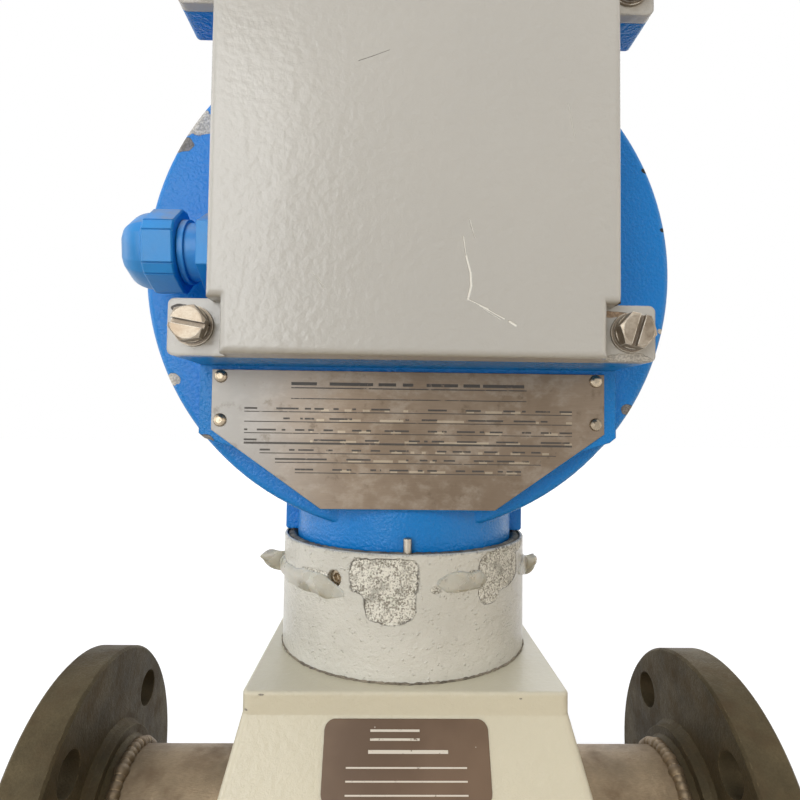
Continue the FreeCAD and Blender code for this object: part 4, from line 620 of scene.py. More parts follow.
def etched_plate():
    """Brushed stainless plate: stains, painted glare at its left, generic ruled lines, without lettering."""
    plate = Finish("stainless")
    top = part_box("nameplate")[1].z
    centre, half = middle_of("nameplate").x, half_of("nameplate").x
    grain = plate.noise(1300.0, 2.0, 0.55, (0.10, 1.0, 3.0))
    cloud = plate.noise(24.0, 5.0, 0.6)
    blots = plate.noise(85.0, 7.0, 0.70, (1.0, 1.0, 1.5))
    steel = (0.215, 0.165, 0.120)
    # painted reflection: this mask picks the plate's left part, which gets a pale grey glare and is made
    # duller
    painted_glare = plate.parts(plate.position)[0].span(centre - half * 0.2, centre - half * 0.95)
    plate.ground(grain.span(0.25, 0.75), shade(steel, 0.93), shade(steel, 1.05))
    plate.tint(cloud.span(0.36, 0.66, 0.0, 0.60), (0.130, 0.092, 0.060))
    plate.tint(blots.span(0.46, 0.66, 0.0, 0.55), (0.29, 0.245, 0.195))
    # painted glare: pale grey laid over the left part of the plate
    plate.tint(painted_glare * cloud.span(0.30, 0.60, 0.30, 0.75), (0.27, 0.265, 0.250))
    plate.tint(plate.noise(170.0, 5.0, 0.66).span(0.56, 0.74, 0.0, 0.50), (0.090, 0.065, 0.042))
    rows = ((6.1, 0.600, 0.4), (9.9, 0.600, 0.3), (14.6, 0.834, 0.3), (18.1, 0.834, 0.3), (22.1, 0.834, 0.3),
            (25.6, 0.834, 0.7), (29.1, 0.753, 0.3), (32.3, 0.675, 0.3), (35.9, 0.574, 0.3))
    dark_marks, pale_marks = [], []
    for number, (fall, share, thickness) in enumerate(rows):
        reach = half * share
        rule = top - fall * MM
        ends = {"left": centre - reach, "right": centre + reach}
        dark_marks.append(plate.effect("Ruled Line", height=rule, thickness=thickness * MM, **ends))
        if number == 1:
            continue
        tall, fill = (1.1 * MM, 0.55) if number == 0 else (0.6 * MM, 0.50)
        dark_marks.append(plate.effect("Ruled Dashes", height=rule + 0.8 * MM + tall * 0.6, thickness=tall,
                                       row=number * 0.37 + 0.2, fill=fill, **ends))
        if number > 1:
            pale_marks.append(plate.effect("Ruled Dashes", height=rule + 0.7 * MM, thickness=0.8 * MM,
                                           left=centre - reach * 0.6, right=centre + reach,
                                           row=number * 0.71 + 5.0, fill=0.47))
    etched = all_marks(dark_marks) * plate.noise(300.0, 4.0, 0.7).span(0.30, 0.45)
    plate.tint(all_marks(pale_marks) * 0.42, (0.45, 0.38, 0.27))
    plate.tint(etched, (0.045, 0.036, 0.028))
    edges = plate.effect("Worn Edges", radius=0.0003, amount=0.5)
    dull = blots.span(0.40, 0.68).larger(painted_glare)
    return plate.done(plate.mix(dull, 0.29, 0.47), grain * 0.5 - etched, 0.00003, edges,
                      strength=0.6, metallic=1.0 - etched)


def all_marks(marks):
    """One mask of many marks."""
    mask = marks[0]["Mask"]
    for mark in marks[1:]:
        mask = mask.larger(mark["Mask"])
    return mask


def printed_label():
    """Dark brown lacquered label with generic ruled lines, without lettering."""
    label = Finish("label_brown")
    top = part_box("sensor_label")[1].z
    centre, half = middle_of("sensor_label").x, half_of("sensor_label").x
    cloud = label.noise(38.0, 4.0)
    label.ground(cloud.span(0.3, 0.7), (0.115, 0.070, 0.040), (0.165, 0.105, 0.064))
    label.tint(label.cells(170.0).span(0.045, 0.03, 0.0, 0.7), (0.55, 0.50, 0.42))
    lines = [label.effect("Ruled Line", height=top - fall * MM, left=centre + half * left,
                          right=centre + half * right, thickness=thickness * MM)
             for fall, left, right, thickness in (
                 (3.0, -0.44, 0.16, 0.6), (5.2, -0.44, 0.16, 0.6), (8.2, -0.46, 0.50, 0.9),
                 (12.0, -0.72, 0.72, 0.4), (15.2, -0.72, 0.72, 0.4), (18.4, -0.72, 0.72, 0.4))]
    label.tint(all_marks(lines) * label.noise(420.0, 4.0, 0.7).span(0.30, 0.42), (0.66, 0.60, 0.51))
    edges = label.effect("Worn Edges", radius=0.0004, amount=0.4)
    label.tint(edges["Mask"], (0.34, 0.29, 0.23))
    label.shader.feed({"Specular IOR Level": 0.35})
    return label.done(cloud.span(0.3, 0.7, 0.30, 0.42), cloud, 0.0002, edges, strength=0.5)


def screw_steel():
    """Plated steel of the cover's screws, with painted shade in a dirt-brown tone in the slots and a dull
    brown bloom.
    """
    steel = Finish("screw_steel")
    edges = steel.effect("Worn Edges", radius=0.0004, amount=0.62)
    # painted shade: ambient occlusion finds the slots and corners, which are darkened and made less metallic
    dirt_and_shade = steel.effect("Crevices", depth=0.0016)["Mask"]
    bloom = steel.noise(150.0, 6.0, 0.65)
    fine = steel.noise(1600.0, 2.0, 0.6)
    steel.ground(bloom.span(0.34, 0.66), (0.20, 0.155, 0.110), (0.36, 0.31, 0.245))
    steel.tint(fine.span(0.35, 0.75, 0.0, 0.35), (0.17, 0.125, 0.085))
    steel.tint(edges["Mask"] * 0.8, (0.80, 0.76, 0.66))
    # painted shade in the slots, in a dark dirt-brown tone
    steel.tint(dirt_and_shade * 0.85, (0.055, 0.038, 0.024))
    return steel.done(bloom.span(0.3, 0.7, 0.30, 0.46), fine, 0.00004, edges, strength=0.6,
                      metallic=0.95 - dirt_and_shade * 0.7)


def winding():
    """Enamelled copper wire, laid turn by turn."""
    wire = Finish("copper")
    turns = wire.put("ShaderNodeMath", {0: wire.parts(wire.position)[2] * (2 * math.pi / 0.0006)},
                     operation="SINE")[0]
    cloud = wire.noise(60.0, 4.0)
    wire.ground(cloud.span(0.3, 0.7), (0.42, 0.16, 0.05), (0.62, 0.28, 0.10))
    return wire.done(cloud.span(0.2, 0.8, 0.25, 0.42), turns, 0.0002, strength=0.7, metallic=0.85)


def circuit_lacquer():
    """Green lacquer over copper tracks, with tinned pads."""
    board = Finish("circuit_board")
    upright = board.put("ShaderNodeMapping", {"Vector": board.position, "Rotation": (math.pi / 2, 0, 0)})[0]
    tracks = board.put("ShaderNodeTexBrick", {
        "Vector": upright, "Scale": 90.0, "Mortar Size": 0.05, "Color1": (0.010, 0.11, 0.055, 1.0),
        "Color2": (0.014, 0.15, 0.070, 1.0), "Mortar": (0.03, 0.24, 0.11, 1.0)})
    pad = board.cells(380.0).span(0.16, 0.10)
    board.ground(pad, tracks["Color"], (0.55, 0.54, 0.50))
    return board.done(board.mix(pad, 0.32, 0.22), tracks["Fac"], 0.0001, strength=0.4, metallic=pad)


def dirty_ring():
    """Old rubber in the collar's mouth under a crust of grey-brown dirt."""
    ring = Finish("mouth_rubber")
    crust = ring.noise(190.0, 7.0, 0.7)
    grit = ring.noise(1500.0)
    ring.ground(crust.span(0.36, 0.62), (0.105, 0.088, 0.066), (0.30, 0.26, 0.195))
    ring.tint(grit.span(0.62, 0.72, 0.0, 0.5), (0.34, 0.31, 0.26))
    return ring.done(crust.span(0.3, 0.7, 0.75, 0.95), crust + grit * 0.3, 0.0012)


def old_sealant():
    """Yellowed silicone, slightly clear, with trapped dust."""
    silicone = Finish("old_sealant")
    cloud = silicone.noise(120.0, 5.0, 0.6)
    silicone.ground(cloud.span(0.3, 0.7), (0.50, 0.47, 0.38), (0.68, 0.66, 0.58))
    silicone.tint(silicone.noise(480.0, 6.0, 0.7).span(0.60, 0.74, 0.0, 0.5), (0.17, 0.14, 0.10))
    silicone.shader.feed({"Transmission Weight": 0.22, "Subsurface Weight": 0.35,
                          "Subsurface Radius": (0.004, 0.003, 0.002), "Subsurface Scale": 0.6})
    return silicone.done(cloud.span(0.3, 0.7, 0.18, 0.36), cloud, 0.0006, strength=0.8)


def build_materials():
    """Every finish by its slot name."""
    return {
        "blue_enamel": blue_enamel(),
        "grey_enamel": cover_enamel(),
        "housing_enamel": housing_enamel(),
        "cream_enamel": flaked_collar(),
        "stainless": etched_plate(),
        "bare_steel": bare_metal("bare_steel", colours().flange_steel, gloss=0.55, rust_amount=0.70,
                                 metallic=0.45, bump=0.00035, rust=(0.085, 0.055, 0.028), scale=34.0,
                                 shine=0.15),
        "tube_steel": bare_metal("tube_steel", (0.245, 0.182, 0.112), gloss=0.44, rust_amount=0.65,
                                 grain=(0.4, 3.0, 3.0), metallic=0.6, bump=0.00025,
                                 rust=(0.14, 0.078, 0.034)),
        "pin_steel": bare_metal("pin_steel", (0.38, 0.34, 0.28), gloss=0.34, rust_amount=0.25),
        "zinc_steel": bare_metal("zinc_steel", (0.44, 0.36, 0.26), gloss=0.27, rust_amount=0.22,
                                 metallic=0.95, bump=0.00002, rust=(0.20, 0.13, 0.07), wear=0.35,
                                 scale=90.0),
        "magnet_steel": bare_metal("magnet_steel", (0.30, 0.30, 0.31), gloss=0.42, rust_amount=0.15,
                                   grain=(1.0, 1.0, 4.0)),
        "aluminium_plate": bare_metal("aluminium_plate", (0.62, 0.62, 0.62), gloss=0.36, rust_amount=0.0,
                                      grain=(0.2, 1.0, 4.0)),
        "blue_polyamide": plain_plastic("blue_polyamide", colours().gland_plastic, gloss=0.36,
                                        bump=0.00006, dust=0.90, wear=0.30, scuff=(0.14, 0.34, 0.62)),
        "label_brown": printed_label(),
        "screw_steel": screw_steel(),
        "ptfe": plain_plastic("ptfe", (0.76, 0.76, 0.73), gloss=0.42),
        "rubber": plain_plastic("rubber", (0.028, 0.026, 0.025), gloss=0.62, bump=0.00012),
        "terminal_plastic": plain_plastic("terminal_plastic", (0.42, 0.43, 0.42), gloss=0.50),
        "potting": plain_plastic("potting", (0.022, 0.022, 0.026), gloss=0.34, bump=0.00015, scale=160.0),
        "copper": winding(),
        "circuit_board": circuit_lacquer(),
        "mouth_rubber": dirty_ring(),
        "old_sealant": old_sealant(),
    }


FINISHES = {}

NODE_FINISH = {"stop_pin": "pin_steel", "neck_seal": "mouth_rubber", "housing_upper": "housing_enamel",
               "housing_lower": "housing_enamel", "electrodes": "pin_steel", "electrode_nuts": "pin_steel",
               "cover_screws": "screw_steel", "cover_washers": "screw_steel"}


def finish_of(node):
    """The name of the finish that a CAD node wears."""
    rows = {row["node"]: row["material_slot"] for row in frame["record"]["subparts"]}
    return NODE_FINISH.get(node, rows[node])


def wear_finish(piece, finish):
    piece.data.materials.clear()
    piece.data.materials.append(FINISHES[finish])


# ---------------------------------------------------------------- shape helpers

def link(piece):
    bpy.context.scene.collection.objects.link(piece)
    return piece


def separate_places(node):
    """The box of each separate solid in a CAD node, from left to right."""
    shape = bmesh.new()
    shape.from_mesh(NODES[node].data)
    bmesh.ops.remove_doubles(shape, verts=shape.verts, dist=1e-6)
    waiting = set(shape.verts)
    boxes = []
    while waiting:
        stack = [waiting.pop()]
        places = []
        while stack:
            vert = stack.pop()
            places.append(vert.co.copy())
            neighbours = {edge.other_vert(vert) for edge in vert.link_edges} & waiting
            waiting -= neighbours
            stack.extend(neighbours)
        boxes.append([Vector([limit(place[axis] for place in places) for axis in range(3)])
                      for limit in (min, max)])
    shape.free()
    return sorted(boxes, key=lambda box: (round(box[0].x, 4), round(box[0].y, 4), box[0].z))


def finished(name, mesh, body, finish, replaced=()):
    """A finished piece: its mesh, its finish and the body that it rides on."""
    piece = link(bpy.data.objects.new(name, mesh))
    wear_finish(piece, finish)
    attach(piece, body)
    if replaced:
        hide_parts(*replaced)
    return piece


def softened(piece, levels):
    """Smooths a piece by dividing its faces."""
    soft = piece.modifiers.new("soft", "SUBSURF")
    soft.levels = soft.render_levels = levels


def body_of_node(node):
    for body, members in frame["record"]["behaviour"]["bodies"].items():
        if node in members:
            return body
    raise ValueError("no body holds " + node)


class Growth(Mixer):
    """A Geometry Nodes tree with named inputs, which grows one plain mesh on a body."""

    def __init__(self, name, **inputs):
        tree = bpy.data.node_groups.new(name, "GeometryNodeTree")
        tree.interface.new_socket(name="Geometry", in_out="INPUT", socket_type="NodeSocketGeometry")
        tree.interface.new_socket(name="Geometry", in_out="OUTPUT", socket_type="NodeSocketGeometry")
        add_inputs(tree, inputs)
        self.entry = put(tree, "NodeGroupInput")
        super().__init__(tree)

    def __getitem__(self, key):
        return self.entry[title(key)]

    def varied(self, low, high):
        """A random factor for each point."""
        return self.put("FunctionNodeRandomValue", {2: low, 3: high, "Seed": self["seed"]},
                        data_type="FLOAT")[1]

    def circle(self, resolution, radius):
        return self.put("GeometryNodeCurvePrimitiveCircle", {"Resolution": resolution, "Radius": radius},
                        mode="RADIUS")[0]

    def sweep(self, curve, profile, **caps):
        return self.put("GeometryNodeCurveToMesh", {"Curve": curve, "Profile Curve": profile, **caps})[0]

    def at_points(self, points, shape, **scale):
        return self.put("GeometryNodeInstanceOnPoints", {"Points": points, "Instance": shape, **scale})[0]

    def end(self, geometry, finish):
        real = self.put("GeometryNodeRealizeInstances", {0: geometry})[0]
        smooth = self.put("GeometryNodeSetShadeSmooth", {0: real})[0]
        coated = self.put("GeometryNodeSetMaterial", {0: smooth, "Material": FINISHES[finish]})[0]
        self.put("NodeGroupOutput", {0: coated})

    def grow(self, name, points, body, finish, **values):
        """Runs the tree on a mesh of points and keeps the result as one plain mesh on a body."""
        mesh = bpy.data.meshes.new(name + "_points")
        mesh.from_pydata([tuple(point) for point in points], [], [])
        source = link(bpy.data.objects.new(name + "_points", mesh))
        modifier = source.modifiers.new("grow", "NODES")
        modifier.node_group = self.tree
        values = {title(key): value for key, value in values.items()}
        for item in self.tree.interface.items_tree:
            if item.item_type == "SOCKET" and item.in_out == "INPUT" and item.name in values:
                modifier[item.identifier] = values[item.name]
        graph = bpy.context.evaluated_depsgraph_get()
        made = bpy.data.meshes.new_from_object(source.evaluated_get(graph))
        bpy.data.objects.remove(source)
        made.name = name
        return finished(name, made, body, finish)


# ---------------------------------------------------------------- pieces

class METER_OT_finishes(bpy.types.Operator):
    """Mixes every finish and gives each CAD node its own"""
    bl_idname = "meter.finishes"
    bl_label = "Finishes"

    def execute(self, context):
        for build in SHARED_EFFECTS:
            build()
        FINISHES.update(build_materials())
        for node, piece in NODES.items():
            wear_finish(piece, finish_of(node))
        return {"FINISHED"}


class METER_OT_rivets(bpy.types.Operator):
    """Puts round-headed rivets through the corners of the nameplate"""
    bl_idname = "meter.rivets"
    bl_label = "Nameplate rivets"

    def execute(self, context):
        rivet = Growth("Rivet Heads", head_radius=0.0023, head_height=0.0014, seed=7)
        radius = rivet["head_radius"]
        scale = rivet.put("ShaderNodeCombineXYZ", {0: radius, 1: radius, 2: rivet["head_height"]})[0]
        ball = rivet.put("GeometryNodeMeshUVSphere", {"Segments": 28, "Rings": 14, "Radius": 1.0})[0]
        head = rivet.put("GeometryNodeTransform", {
            "Geometry": ball, "Rotation": (math.pi / 2, 0.0, 0.0), "Scale": scale})[0]
        rivet.end(rivet.at_points(rivet["geometry"], head, Scale=rivet.varied(0.94, 1.06)), "zinc_steel")
        plate_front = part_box("nameplate")[0].y
        points = [((low.x + high.x) / 2, plate_front, (low.z + high.z) / 2)
                  for low, high in separate_places("nameplate_rivets")]
        piece = rivet.grow("rivet_heads", points, "converter_head", "zinc_steel",
                           head_radius=sizes().rivet_radius, head_height=sizes().rivet_height)
        return {"FINISHED"}


def loft(name, rings, closed_loop=False, crease=0.6):
    """A mesh through rings of equally many points; the ends are capped or joined up."""
    count, vertices = len(rings[0]), [tuple(point) for ring in rings for point in ring]
    faces = []
    for row in range(len(rings) if closed_loop else len(rings) - 1):
        start, after = row * count, ((row + 1) % len(rings)) * count
        for step in range(count):
            ahead = (step + 1) % count
            faces.append((start + step, start + ahead, after + ahead, after + step))
    if not closed_loop:
        faces.append(tuple(range(count)))
        faces.append(tuple(reversed(range(len(vertices) - count, len(vertices)))))
    mesh = bpy.data.meshes.new(name)
    mesh.from_pydata(vertices, [], faces)
    shape = bmesh.new()
    shape.from_mesh(mesh)
    bmesh.ops.remove_doubles(shape, verts=shape.verts, dist=1e-7)
    bmesh.ops.recalc_face_normals(shape, faces=shape.faces)
    shape.to_mesh(mesh)
    shape.free()
    mesh.shade_smooth()
    mesh.set_sharp_from_angle(angle=crease)
    return mesh


class METER_OT_gland_nut(bpy.types.Operator):
    """Moulds the gland's nut, with its ribbed corners and round nose"""
    bl_idname = "meter.gland_nut"
    bl_label = "Gland nut"

    def execute(self, context):
        low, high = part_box("gland_nut")
        tip, back = low.x, high.x
        centre = middle_of("gland_nut")
        flat = sizes().nut_flats / 2
        half_flat = math.atan2(sizes().nut_flat_width / 2, flat)
        corner = flat / math.cos(half_flat)
        mouth = half_of("gland_washer").z * 0.62
        thread = half_of("gland_body").z * 0.70
        groove_edge = math.radians(1.2)
        groove_floor = groove_edge * 0.4
        turn = math.radians(22.5)
        marks = []
        for side in range(6):
            rib = side * math.pi / 3 + half_flat + turn
            far = (side + 1) * math.pi / 3 - half_flat + turn
            for place in (rib, far):
                marks += [(place - groove_edge, 0.0), (place - groove_floor, sizes().nut_groove),
                          (place + groove_floor, sizes().nut_groove), (place + groove_edge, 0.0)]

        def circle(x, radius):
            """As many points as a section has, on a circle."""
            return [(x, centre.y + radius * math.sin(angle), centre.z + radius * math.cos(angle))
                    for angle, sink in marks]

        def section(x, shrink, sink_scale):
            """Six flats with a narrow rib at each corner, set between two grooves."""
            ring = []
            for angle, sink in marks:
                reach = corner - shrink - sink * sink_scale
                ring.append((x, centre.y + reach * math.sin(angle), centre.z + reach * math.cos(angle)))
            return ring

        grip_end = back - (back - tip) * 0.545
        nose = grip_end - tip
        chamfer = 0.6 * MM
        rings = [circle(back, thread), section(back, chamfer, 0.0), section(back - 0.5 * MM, 0.0, 1.0),
                 section(grip_end + chamfer, 0.0, 1.0), section(grip_end, chamfer, 0.0)]
        for share in (0.03, 0.18, 0.34, 0.50, 0.65, 0.78, 0.88, 0.95, 1.0):
            fall = math.sqrt(max(1.0 - share ** 2, 0.0))
            rings.append(circle(grip_end - nose * share, mouth + (flat - 0.2 * MM - mouth) * fall))
        rings += [circle(tip + 0.4 * MM, mouth - 0.5 * MM), circle(tip + 3.0 * MM, mouth - 0.5 * MM),
                  circle(tip + 4.5 * MM, thread)]
        mesh = loft("gland_nut_ribbed", rings, closed_loop=True)
        piece = finished("gland_nut_ribbed", mesh, "gland_cap", "blue_polyamide", ("gland_nut",))
        return {"FINISHED"}


def on_collar(angle, fall, out=0.0):
    """A point on the collar's outside: degrees from the front to the right, and the fall from the top."""
    low, high = COLLAR
    centre = (low + high) / 2
    radius = (high.x - low.x) / 2 + out
    turn = math.radians(angle)
    return Vector((centre.x + radius * math.sin(turn), centre.y - radius * math.cos(turn), high.z - fall))


def smear(name, stations, seed):
    """A strip of sealant along the collar: stations are (angle, fall, half width, thickness)."""
    dice = random.Random(seed)
    steps, sides = 5, 16
    fine = [[a + (b - a) * step / steps for a, b in zip(first, second)]
            for first, second in zip(stations, stations[1:]) for step in range(steps)]
    fine.append(list(stations[-1]))
    phase = [dice.uniform(0.0, 6.3) for _ in range(4)]
    rings = []
    for angle, fall, half, thick in fine:
        sway = math.sin(angle * 0.23 + phase[0]) + 0.6 * math.sin(angle * 0.61 + phase[1])
        swell = 1.0 + 0.07 * math.sin(angle * 0.47 + phase[2])
        ring = []
        for side in range(sides):
            turn = 2 * math.pi * side / sides
            across = half * MM * swell * math.cos(turn)
            fold = 1.0 + 0.22 * math.sin(across * 900.0 + angle * 0.16 + phase[3])
            out = thick * MM * math.sin(turn) * (fold if math.sin(turn) > 0 else 0.35)
            ring.append(on_collar(angle, fall * MM - across + 0.22 * MM * sway, out))
        rings.append(ring)
    piece = finished(name, loft(name, rings, crease=math.pi), "meter_body", "old_sealant")
    softened(piece, 2)


def torn_flap(name, angle, fall, stand, drop, rise, seed):
    """A thin torn tongue of sealant that stands out from the collar's side."""
    dice = random.Random(seed)
    across, along = 10, 8
    tears = [dice.uniform(-1.0, 1.0) * 0.7 * MM for _ in range(across + 1)]
    shape = bmesh.new()
    grid = []
    for column in range(along + 1):
        share = column / along
        narrow = math.sqrt(max(1.0 - (share * 0.93) ** 3, 0.0))
        row = []
        for step, tear in enumerate(tears):
            place = step / across * 2.0 - 1.0
            level = (rise if place > 0 else drop) * MM * place * narrow
            reach = stand * MM * share * (1.0 - 0.22 * place * place) + tear * share
            curl = 3.0 * MM * math.sin(share * 2.2 + place) + 1.2 * MM * math.sin(place * 3.0) * share
            point = on_collar(angle, fall * MM, reach - 0.6 * MM)
            row.append(shape.verts.new(point + Vector((0.0, -curl, level + 2.4 * MM * share ** 2))))
        grid.append(row)
    for row, after in zip(grid, grid[1:]):
        for step in range(across):
            shape.faces.new((row[step], after[step], after[step + 1], row[step + 1]))
    bmesh.ops.recalc_face_normals(shape, faces=shape.faces)
    mesh = bpy.data.meshes.new(name)
    shape.to_mesh(mesh)
    shape.free()
    mesh.shade_smooth()
    piece = finished(name, mesh, "meter_body", "old_sealant")
    wall = piece.modifiers.new("thickness", "SOLIDIFY")
    wall.thickness = 1.0 * MM
    wall.offset = 0.0
    softened(piece, 2)


class METER_OT_sealant(bpy.types.Operator):
    """Lays the old sealant round the collar, with its torn flaps"""
    bl_idname = "meter.sealant"
    bl_label = "Sealant"

    def execute(self, context):
        smear("sealant_left", [
            (-92, 12.0, 2.0, 1.0), (-84, 12.6, 3.4, 1.8), (-72, 13.0, 3.3, 1.5), (-60, 13.2, 3.5, 1.1),
            (-50, 13.2, 3.9, 1.0), (-41, 13.0, 4.2, 0.9), (-35, 13.4, 3.9, 0.8), (-30, 14.2, 2.6, 0.6),
            (-26, 15.0, 0.8, 0.3)], 11)
        smear("sealant_right", [
            (12, 10.0, 1.0, 0.3), (16, 9.8, 3.3, 0.9), (21, 9.6, 3.6, 1.2), (26, 9.9, 3.3, 1.2),
            (31, 10.1, 3.4, 1.0), (35, 10.4, 1.2, 0.3)], 12)
        smear("sealant_right_end", [
            (62, 12.0, 1.0, 0.3), (70, 11.6, 3.6, 1.4), (80, 11.8, 4.2, 2.0), (90, 12.0, 2.0, 0.8)], 13)
        torn_flap("sealant_flap_left", -86, fall=13.0, stand=10.0, drop=4.6, rise=4.6, seed=21)
        torn_flap("sealant_flap_right", 80, fall=12.2, stand=5.8, drop=5.0, rise=4.0, seed=22)
        return {"FINISHED"}


class METER_OT_joint_dirt_and_shade(bpy.types.Operator):
    """Lays a thin wavy dark bead into the joints above and below the collar: dirt on the seal in its mouth,
    and a painted shadow line in the gap at its foot
    """
    bl_idname = "meter.joint_dirt"
    bl_label = "Joint dirt and shade"

    def execute(self, context):
        dirt_and_shade = Growth("Joint Dirt", ring_radius=0.05, height=0.0, bead_radius=0.0006, waviness=0.0006, seed=3)
        spread = dirt_and_shade.put("FunctionNodeRandomValue", {
            0: (-1.0, -1.0, -1.0), 1: (1.0, 1.0, 1.0), "Seed": dirt_and_shade["seed"]}, data_type="FLOAT_VECTOR")[0]
        lift = dirt_and_shade.put("ShaderNodeCombineXYZ", {2: dirt_and_shade["height"]})[0]
        wavy = dirt_and_shade.put("GeometryNodeSetPosition", {
            "Geometry": dirt_and_shade.circle(260, dirt_and_shade["ring_radius"]),
            "Offset": dirt_and_shade.vector("ADD", dirt_and_shade.scaled(spread, dirt_and_shade["waviness"]), lift)})[0]
        dirt_and_shade.end(dirt_and_shade.sweep(wavy, dirt_and_shade.circle(7, dirt_and_shade["bead_radius"])), "mouth_rubber")
        low, high = COLLAR
        outer = half_of("neck_seal").x
        crust = (outer - sizes().neck_radius) / 2
        # the ring at the collar's foot is painted shade: a dark bead laid where the gap between collar and
        # housing is in shadow; the ring in the collar's mouth is dirt on the seal
        rings = (("collar_foot_dirt", half_of("swivel_collar").x - 0.1 * MM, low.z + 0.2 * MM,
                  0.55 * MM, 0.22 * MM),
                 ("collar_mouth_dirt", sizes().neck_radius + crust, high.z - crust * 0.93,
                  crust, 0.16 * MM))
        for name, radius, height, bead, waviness in rings:
            piece = dirt_and_shade.grow(name, [(0, 0, 0)], "meter_body", "mouth_rubber", ring_radius=radius,
                              height=height, bead_radius=bead, waviness=waviness)
        return {"FINISHED"}


class METER_OT_threads(bpy.types.Operator):
    """Cuts the threads on the ends of the housing's bolts"""
    bl_idname = "meter.threads"
    bl_label = "Bolt threads"

    def execute(self, context):
        thread = Growth("Bolt Thread", turns=3.0, pitch=0.001, bolt_radius=0.003)
        coil = thread.put("GeometryNodeCurveSpiral", {
            "Resolution": 28, "Rotations": thread["turns"], "Height": thread["turns"] * thread["pitch"],
            "Start Radius": thread["bolt_radius"], "End Radius": thread["bolt_radius"]})[0]
        crest = thread.circle(4, thread["pitch"] * 0.42)
        ridge = thread.sweep(coil, crest, **{"Fill Caps": True})
        thread.end(thread.at_points(thread["geometry"], ridge), "zinc_steel")
        bolts = separate_places("housing_bolts")
        nut_foot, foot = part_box("housing_nuts")[0].z, bolts[0][0].z
        pitch = sizes().thread_pitch
        points = [((low.x + high.x) / 2, (low.y + high.y) / 2, foot + pitch * 0.4) for low, high in bolts]
        piece = thread.grow("bolt_threads", points, body_of_node("housing_bolts"), "zinc_steel",
                            turns=(nut_foot - foot) / pitch - 0.6, pitch=pitch,
                            bolt_radius=sizes().bolt_radius)
        return {"FINISHED"}


class METER_OT_welds(bpy.types.Operator):
    """Runs a rippled weld bead between each flange's hub and the tube"""
    bl_idname = "meter.welds"
    bl_label = "Weld beads"

    def execute(self, context):
        weld = Growth("Weld Bead", station=0.0, ring_radius=0.025, ripples=54, bead_radius=0.0028, seed=5)
        ring = weld.put("GeometryNodeMeshCircle", {"Vertices": weld["ripples"],
                                                   "Radius": weld["ring_radius"]})[0]
        upright = weld.put("GeometryNodeTransform", {
            "Geometry": ring, "Translation": weld.put("ShaderNodeCombineXYZ", {0: weld["station"]})[0],
            "Rotation": (0.0, math.pi / 2, 0.0)})[0]
        ball = weld.put("GeometryNodeMeshIcoSphere", {"Radius": weld["bead_radius"], "Subdivisions": 3})[0]
        weld.end(weld.at_points(upright, ball, Scale=weld.varied(0.88, 1.12)), "tube_steel")
        tube = half_of("measuring_tube").y
        for name, station in (("inlet_weld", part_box("inlet_flange")[1].x),
                              ("outlet_weld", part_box("outlet_flange")[0].x)):
            piece = weld.grow(name, [(0, 0, 0)], "meter_body", "tube_steel", station=station,
                              ring_radius=tube + 0.4 * MM, ripples=sizes().weld_ripples,
                              bead_radius=sizes().weld_radius)
        return {"FINISHED"}


# ---------------------------------------------------------------- stage

def lay_floor():
    """A wide pale floor, white to the camera, that keeps the object's shadow."""
    level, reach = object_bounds()[0].z, 6.0
    mesh = bpy.data.meshes.new("floor")
    mesh.from_pydata([(-reach, -reach, level), (reach, -reach, level), (reach, reach, level),
                      (-reach, reach, level)], [], [(0, 1, 2, 3)])
    ground = link(bpy.data.objects.new("floor", mesh))
    floor = Finish("floor")
    path = floor.put("ShaderNodeLightPath")
    rays = path["Is Camera Ray"].larger(path["Is Glossy Ray"])
    pale = floor.blend(floor.noise(3.0).span(0.3, 0.7), (0.84, 0.84, 0.84), (0.88, 0.88, 0.88))
    away = floor.put("ShaderNodeVectorMath", {0: floor.position}, operation="LENGTH")["Value"]
    floor.shader.feed({"Base Color": floor.blend(rays, (0.50, 0.42, 0.31), pale), "Roughness": 0.9,
                       "Specular IOR Level": 0.1, "Emission Color": (1.0, 1.0, 1.0, 1.0),
                       "Emission Strength": rays * away.span(0.25, 2.2, 0.30, 0.80)})
    ground.data.materials.append(floor.material)
    ground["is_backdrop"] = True


def light_surroundings(scene):
    """A room that is dim above the warm ground, and plain white where it is seen or mirrored."""
    scene.world = bpy.data.worlds.new("studio")
    scene.world.use_nodes = True
    scene.world.node_tree.nodes.clear()
    room = Mixer(scene.world.node_tree)
    path = room.put("ShaderNodeLightPath")
    seen = path["Is Camera Ray"].larger(path["Is Transmission Ray"]).larger(path["Is Glossy Ray"])
    height = room.parts(room.put("ShaderNodeTexCoord")["Generated"])[2]
    walls = room.blend(height.span(-0.2, 0.8), (0.30, 0.26, 0.21), (0.52, 0.53, 0.55))
    sky = room.put("ShaderNodeBackground", {"Color": room.blend(seen, walls, (1.0, 1.0, 1.0)),
                                            "Strength": 1.0})
    room.put("ShaderNodeOutputWorld", {0: sky[0]})


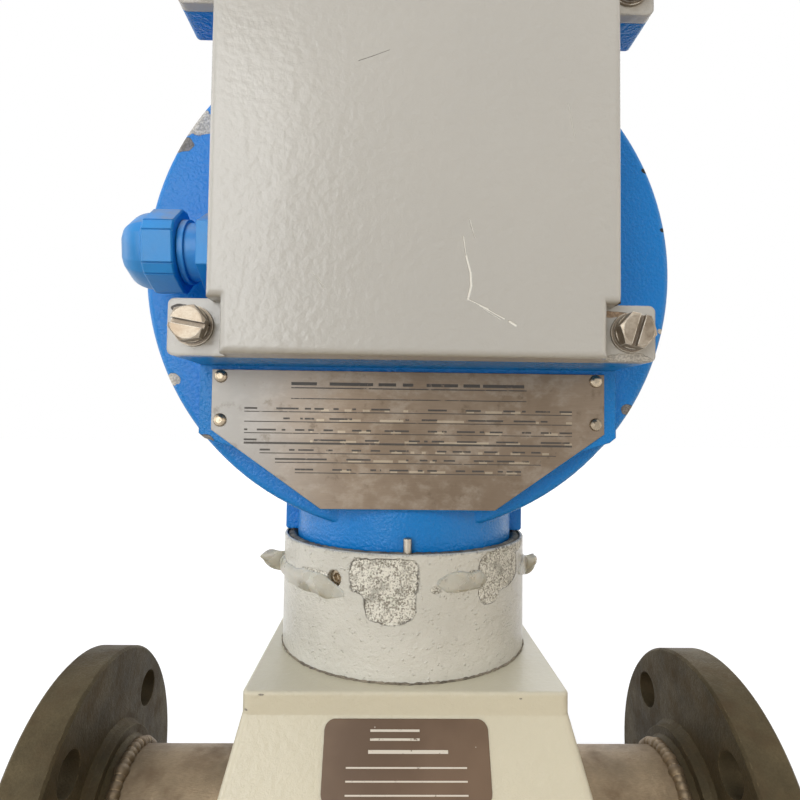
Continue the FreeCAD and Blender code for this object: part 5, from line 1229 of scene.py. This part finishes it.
def hang_lamps():
    """Large soft lamps that all look at the collar."""
    target = Vector((0.0, 0.0, 0.17))
    for name, place, size, power, colour in (
            ("window", (-0.52, -1.15, 0.50), (0.55, 0.95), 7.0, (0.97, 0.99, 1.0)),
            ("side", (-1.20, -0.15, 0.35), (0.8, 1.1), 4.5, (1.0, 1.0, 1.0)),
            ("ceiling", (0.10, -0.35, 1.50), (1.4, 1.0), 6.5, (1.0, 0.98, 0.95)),
            ("warm_wall", (1.20, -0.70, 0.20), (0.9, 1.2), 3.5, (1.0, 0.84, 0.64)),
            ("back", (0.30, 1.30, 0.90), (1.2, 0.8), 5.0, (0.95, 0.97, 1.0))):
        lamp = bpy.data.lights.new(name, "AREA")
        lamp.shape = "RECTANGLE"
        lamp.size, lamp.size_y = size
        lamp.energy = power
        lamp.color = colour
        holder = link(bpy.data.objects.new(name, lamp))
        holder.location = place
        holder.rotation_mode = "QUATERNION"
        holder.rotation_quaternion = (target - Vector(place)).to_track_quat("-Z", "Y")


def stand_camera(scene):
    """The camera in front of the meter, turned by its yaw, pitch and roll."""
    yaw, pitch, roll = math.radians(1.16), math.radians(2.32), math.radians(0.74)
    ahead = Vector((math.sin(yaw) * math.cos(pitch), math.cos(yaw) * math.cos(pitch), math.sin(pitch)))
    level = Vector((math.cos(yaw), -math.sin(yaw), 0.0))
    rise = level.cross(ahead)
    side = level * math.cos(roll) + rise * math.sin(roll)
    top = rise * math.cos(roll) - level * math.sin(roll)
    lens = bpy.data.cameras.new("camera")
    lens.sensor_width = 36.0
    lens.lens = 26.38
    lens.clip_start = 0.01
    camera = link(bpy.data.objects.new("camera", lens))
    turn = Matrix((side, top, -ahead)).transposed()
    camera.matrix_world = Matrix.Translation((-0.00745, -0.25346, 0.16239)) @ turn.to_4x4()
    scene.camera = camera


class METER_OT_stage(bpy.types.Operator):
    """Sets up the pale floor, the lamps, the surroundings and the camera"""
    bl_idname = "meter.stage"
    bl_label = "Stage"

    def execute(self, context):
        context.scene.view_settings.view_transform = "Standard"
        lay_floor()
        light_surroundings(context.scene)
        hang_lamps()
        stand_camera(context.scene)
        return {"FINISHED"}


PIECES = (METER_OT_finishes, METER_OT_rivets, METER_OT_gland_nut, METER_OT_sealant,
          METER_OT_joint_dirt_and_shade, METER_OT_threads, METER_OT_welds, METER_OT_stage)


class METER_PT_panel(bpy.types.Panel):
    """Buttons for each piece of the flow meter"""
    bl_idname = "METER_PT_panel"
    bl_label = "Flow meter"
    bl_space_type = "VIEW_3D"
    bl_region_type = "UI"
    bl_category = "Flow meter"

    def draw(self, context):
        for settings in (context.scene.meter_sizes, context.scene.meter_colours):
            for name in settings.__annotations__:
                self.layout.prop(settings, name)
        for piece in PIECES:
            self.layout.operator(piece.bl_idname)


CLASSES = (MeterSizes, MeterColours, *PIECES, METER_PT_panel)


def register():
    for item in CLASSES:
        bpy.utils.register_class(item)
    bpy.types.Scene.meter_sizes = bpy.props.PointerProperty(type=MeterSizes)
    bpy.types.Scene.meter_colours = bpy.props.PointerProperty(type=MeterColours)


def unregister():
    del bpy.types.Scene.meter_colours
    del bpy.types.Scene.meter_sizes
    for item in reversed(CLASSES):
        bpy.utils.unregister_class(item)


def main():
    register()
    for piece in PIECES:
        family, name = piece.bl_idname.split(".")
        getattr(getattr(bpy.ops, family), name)()
    bpy.context.view_layer.update()


if __name__ == "__main__":
    main()
